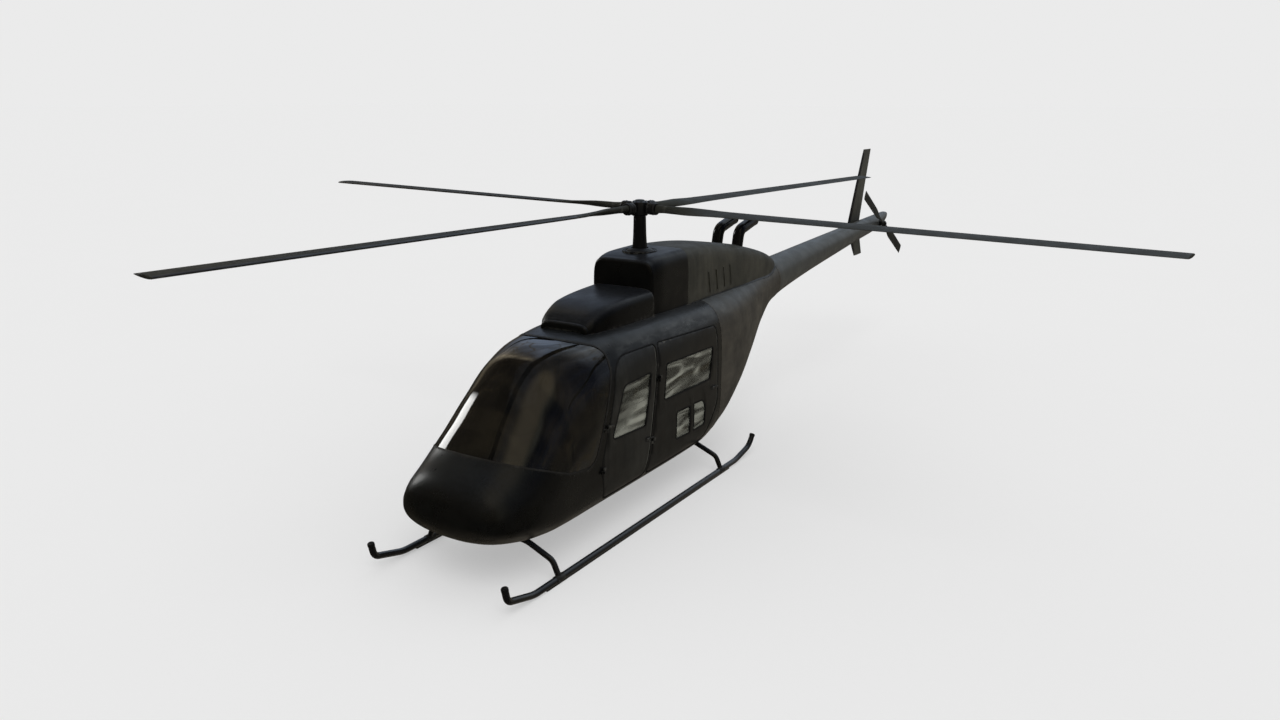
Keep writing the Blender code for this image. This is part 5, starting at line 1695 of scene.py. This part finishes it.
def buildFasteners():
    setFasteners("windscreen_screws", "airframe", ["cabin_skin"], windscreenRays(), "rivet")
    straps = ["bulkhead_strap", "boom_strap"]
    setFasteners("strap_screws", "airframe", straps, strapRays(), "rivet", seed=2)
    boom = fastener["boom"]
    rays = [ray for station in boom["stations"] for ray in ringRays(station, boom["spacing"])]
    setFasteners("boom_rivets", "airframe", ["boom_skin"], rays, "rivet", "boom", 3)
    setFasteners("cowling_screws", "airframe", ["cowling_flange"], cowlingRays(), "screw", seed=4)
    out, spacing = fastener["window"]
    for row, spec in doors.items():
        for side, sign in (("port", 1), ("starboard", -1)):
            carrier = f"door_{row}_{side}"
            rays = []
            for window in spec["windows"].values():
                rays += sideRays(rounded(grown(window, out)), spacing, (sign,))
            setFasteners(f"{carrier}_screws", carrier, [f"{carrier}_panel_look"], rays, "rivet", seed=5)
    setFasteners("fin_rivets", "airframe", ["fin_skin"], finRays(), "rivet", "fin", 6)
    setFasteners("saddle_bolts", "airframe", ["skid_saddles"], saddleRays(), "bolt", seed=7)
    bases = [f"seat_base_{row}_look" for row in seatBases]
    setFasteners("seat_base_screws", "airframe", bases, baseRays(), "screw", seed=8)


buildFasteners()


# Camera, light and floor

camera = {"station": -8.377, "x": 5.3025, "z": 3.9685, "pitch": 15.18, "yaw": 32.32, "lens": 27.33}
eye = linked("camera", bpy.data.cameras.new("camera"))
eye.location = (camera["x"], camera["station"] + mastY, camera["z"])
eye.rotation_euler = (math.radians(90 - camera["pitch"]), 0, math.radians(camera["yaw"]))
eye.data.lens = camera["lens"]
bpy.context.scene.camera = eye

studio = {
    "floorSize": 400.0, "backdrop": 0.83, "floorTone": 0.475, "floorDull": 0.985, "floorGlow": 0.372,
    "sunPower": 0.9, "sunSize": 40.0, "sunTurn": (38, 0, 40), "fill": 0.74,
    "overhead": (0.10, 0.105, 0.115), "cloud": (2.6, 0.55, 1.25),
    # what gloss sees round the aircraft: degrees from the nose, port positive, and the tone there
    "upper": [(-180, (0.62, 0.72, 0.84)), (-150, (0.42, 0.50, 0.62)), (-137, (0.44, 0.54, 0.72)),
              (-126, (0.30, 0.31, 0.34)), (-117, (0.70, 0.60, 0.44)), (-112, (0.50, 0.43, 0.31)),
              (-106, (0.06, 0.05, 0.035)), (-60, (0.045, 0.038, 0.026)),
              (0, (0.075, 0.060, 0.036)), (56, (0.085, 0.068, 0.042)), (66, (0.26, 0.25, 0.18)),
              (78, (0.22, 0.22, 0.18)), (88, (0.025, 0.032, 0.050)), (124, (0.045, 0.060, 0.10)),
              (142, (0.34, 0.39, 0.46)), (166, (0.80, 0.86, 0.92)), (180, (0.62, 0.72, 0.84))],
    "lower": [(-180, (0.17, 0.155, 0.13)), (-140, (0.10, 0.09, 0.075)), (-115, (0.04, 0.036, 0.03)),
              (-90, (0.03, 0.027, 0.02)),
              (90, (0.025, 0.022, 0.018)), (130, (0.06, 0.055, 0.045)), (150, (0.20, 0.185, 0.155)),
              (180, (0.17, 0.155, 0.13))],
    "softbox": {"azimuth": -94, "height": 19.5, "inner": 9, "outer": 11.5, "tone": (5.0, 5.0, 4.9),
                "edge": (-98, 18)},
    "glow": {"azimuth": 45, "height": 64, "inner": 8, "outer": 26, "tone": (0.36, 0.31, 0.22)},
    "twigs": {"scale": 6.5, "bend": 0.22, "width": 0.05, "share": 0.75, "tone": (0.17, 0.135, 0.08)},
}


def toneRamp(tree, share, stops):
    ramp = tree.nodes.new("ShaderNodeValToRGB")
    elements = ramp.color_ramp.elements
    while len(elements) < len(stops):
        elements.new(0.5)
    for element, (azimuth, tone) in zip(elements, stops):
        element.position = azimuth / 360 + 0.5
        element.color = (*tone, 1)
    tree.links.new(share, ramp.inputs[0])
    return ramp.outputs[0]


def aimOf(azimuth, height):
    turn, lift = math.radians(azimuth), math.radians(height)
    return Vector((math.sin(turn) * math.cos(lift), -math.cos(turn) * math.cos(lift), math.sin(lift)))


def discOf(tree, towards, lamp):
    # 1 inside a soft-edged disc of the sky, 0 outside
    near = add(tree, "VectorMath", {0: towards, 1: aimOf(lamp["azimuth"], lamp["height"])},
               operation="DOT_PRODUCT").outputs["Value"]
    return spread(tree, near, math.cos(math.radians(lamp["outer"])), math.cos(math.radians(lamp["inner"])))


def grey(tone):
    return (tone, tone, tone, 1)


def buildFloor():
    size = studio["floorSize"]
    floor = box("studio_floor", (-size, -size, -0.05), (size, size, -0.0006))
    material, tree, shader = started("studio floor")
    pale, dull = (grey(studio["floorTone"] * share) for share in (1, studio["floorDull"]))
    wired(tree, shader, {"Base Color": mixed(tree, noise(tree, placeOf(tree), 0.6, 3.0, 0.5), pale, dull),
                         "Roughness": 1.0, "Specular IOR Level": 0.0, "Emission Color": grey(1),
                         "Emission Strength": studio["floorGlow"]})
    floor.data.materials.append(material)
    floor.visible_glossy = False


def buildSun():
    sun = linked("sun", bpy.data.lights.new("sun", "SUN"))
    sun.data.energy = studio["sunPower"]
    sun.data.angle = math.radians(studio["sunSize"])
    sun.rotation_euler = [math.radians(a) for a in studio["sunTurn"]]
    sun.visible_glossy = False


def glossTone(tree, towards):
    # the surroundings as gloss sees them
    x, y, z = add(tree, "SeparateXYZ", {0: towards}).outputs
    azimuth = combined(tree, "ARCTAN2", x, times(tree, y, -1.0))
    share = combined(tree, "ADD", combined(tree, "DIVIDE", azimuth, 2 * math.pi), 0.5)
    gloss = mixed(tree, spread(tree, z, 0.0, 0.30), toneRamp(tree, share, studio["lower"]),
                  toneRamp(tree, share, studio["upper"]))
    gloss = mixed(tree, spread(tree, z, 0.80, 0.97), gloss, (*studio["overhead"], 1))
    scale, low, high = studio["cloud"]
    cloud = spread(tree, noise(tree, towards, scale, 4.0, 0.55, 0.8), 0.35, 0.65, low, high)
    cloud = add(tree, "CombineXYZ", {0: cloud, 1: cloud, 2: cloud}).outputs[0]
    gloss = mixed(tree, 1.0, gloss, cloud, "MULTIPLY")
    gloss = mixed(tree, discOf(tree, towards, studio["glow"]), gloss, (*studio["glow"]["tone"], 1))
    twigs = studio["twigs"]
    bent = add(tree, "TexNoise", {"Vector": towards, "Scale": 3.0, "Detail": 3.0}).outputs[1]
    bent = add(tree, "VectorMath", {0: bent, "Scale": twigs["bend"]}, operation="SCALE").outputs[0]
    bent = add(tree, "VectorMath", {0: towards, 1: bent}, operation="ADD").outputs[0]
    gap = add(tree, "TexVoronoi", {"Vector": bent, "Scale": twigs["scale"]},
              feature="DISTANCE_TO_EDGE").outputs[0]
    crossed = times(tree, spread(tree, gap, twigs["width"], 0.0, 0.0, twigs["share"]),
                    spread(tree, noise(tree, towards, 2.2, 2.0), 0.42, 0.58))
    gloss = mixed(tree, crossed, gloss, (*twigs["tone"], 1))
    lamp = studio["softbox"]
    lit = discOf(tree, towards, lamp)
    # its slanting edge: only what lies to port of it and below shines
    azimuth, height = lamp["edge"]
    across = aimOf(azimuth + 1, height) - aimOf(azimuth - 1, height)
    slant = (across.normalized() - aimOf(azimuth, height + 90)).normalized()
    beyond = add(tree, "VectorMath", {0: towards, 1: slant}, operation="DOT_PRODUCT").outputs["Value"]
    lit = times(tree, lit, spread(tree, beyond, -0.015, 0.03))
    return mixed(tree, lit, gloss, (*lamp["tone"], 1))


def buildWorld():
    world = bpy.data.worlds.new("studio")
    bpy.context.scene.world = world
    world.use_nodes = True
    tree = world.node_tree
    tree.nodes.clear()
    rays = add(tree, "LightPath").outputs
    gloss = glossTone(tree, add(tree, "TexCoord").outputs["Generated"])
    shown = mixed(tree, rays["Is Glossy Ray"], grey(studio["fill"]), gloss)
    shown = mixed(tree, rays["Is Camera Ray"], shown, grey(studio["backdrop"]))
    add(tree, "OutputWorld", {0: add(tree, "Background", {"Color": shown}).outputs[0]})
    bpy.context.scene.view_settings.view_transform = "Standard"


buildFloor()
buildSun()
buildWorld()
print("studio ready")
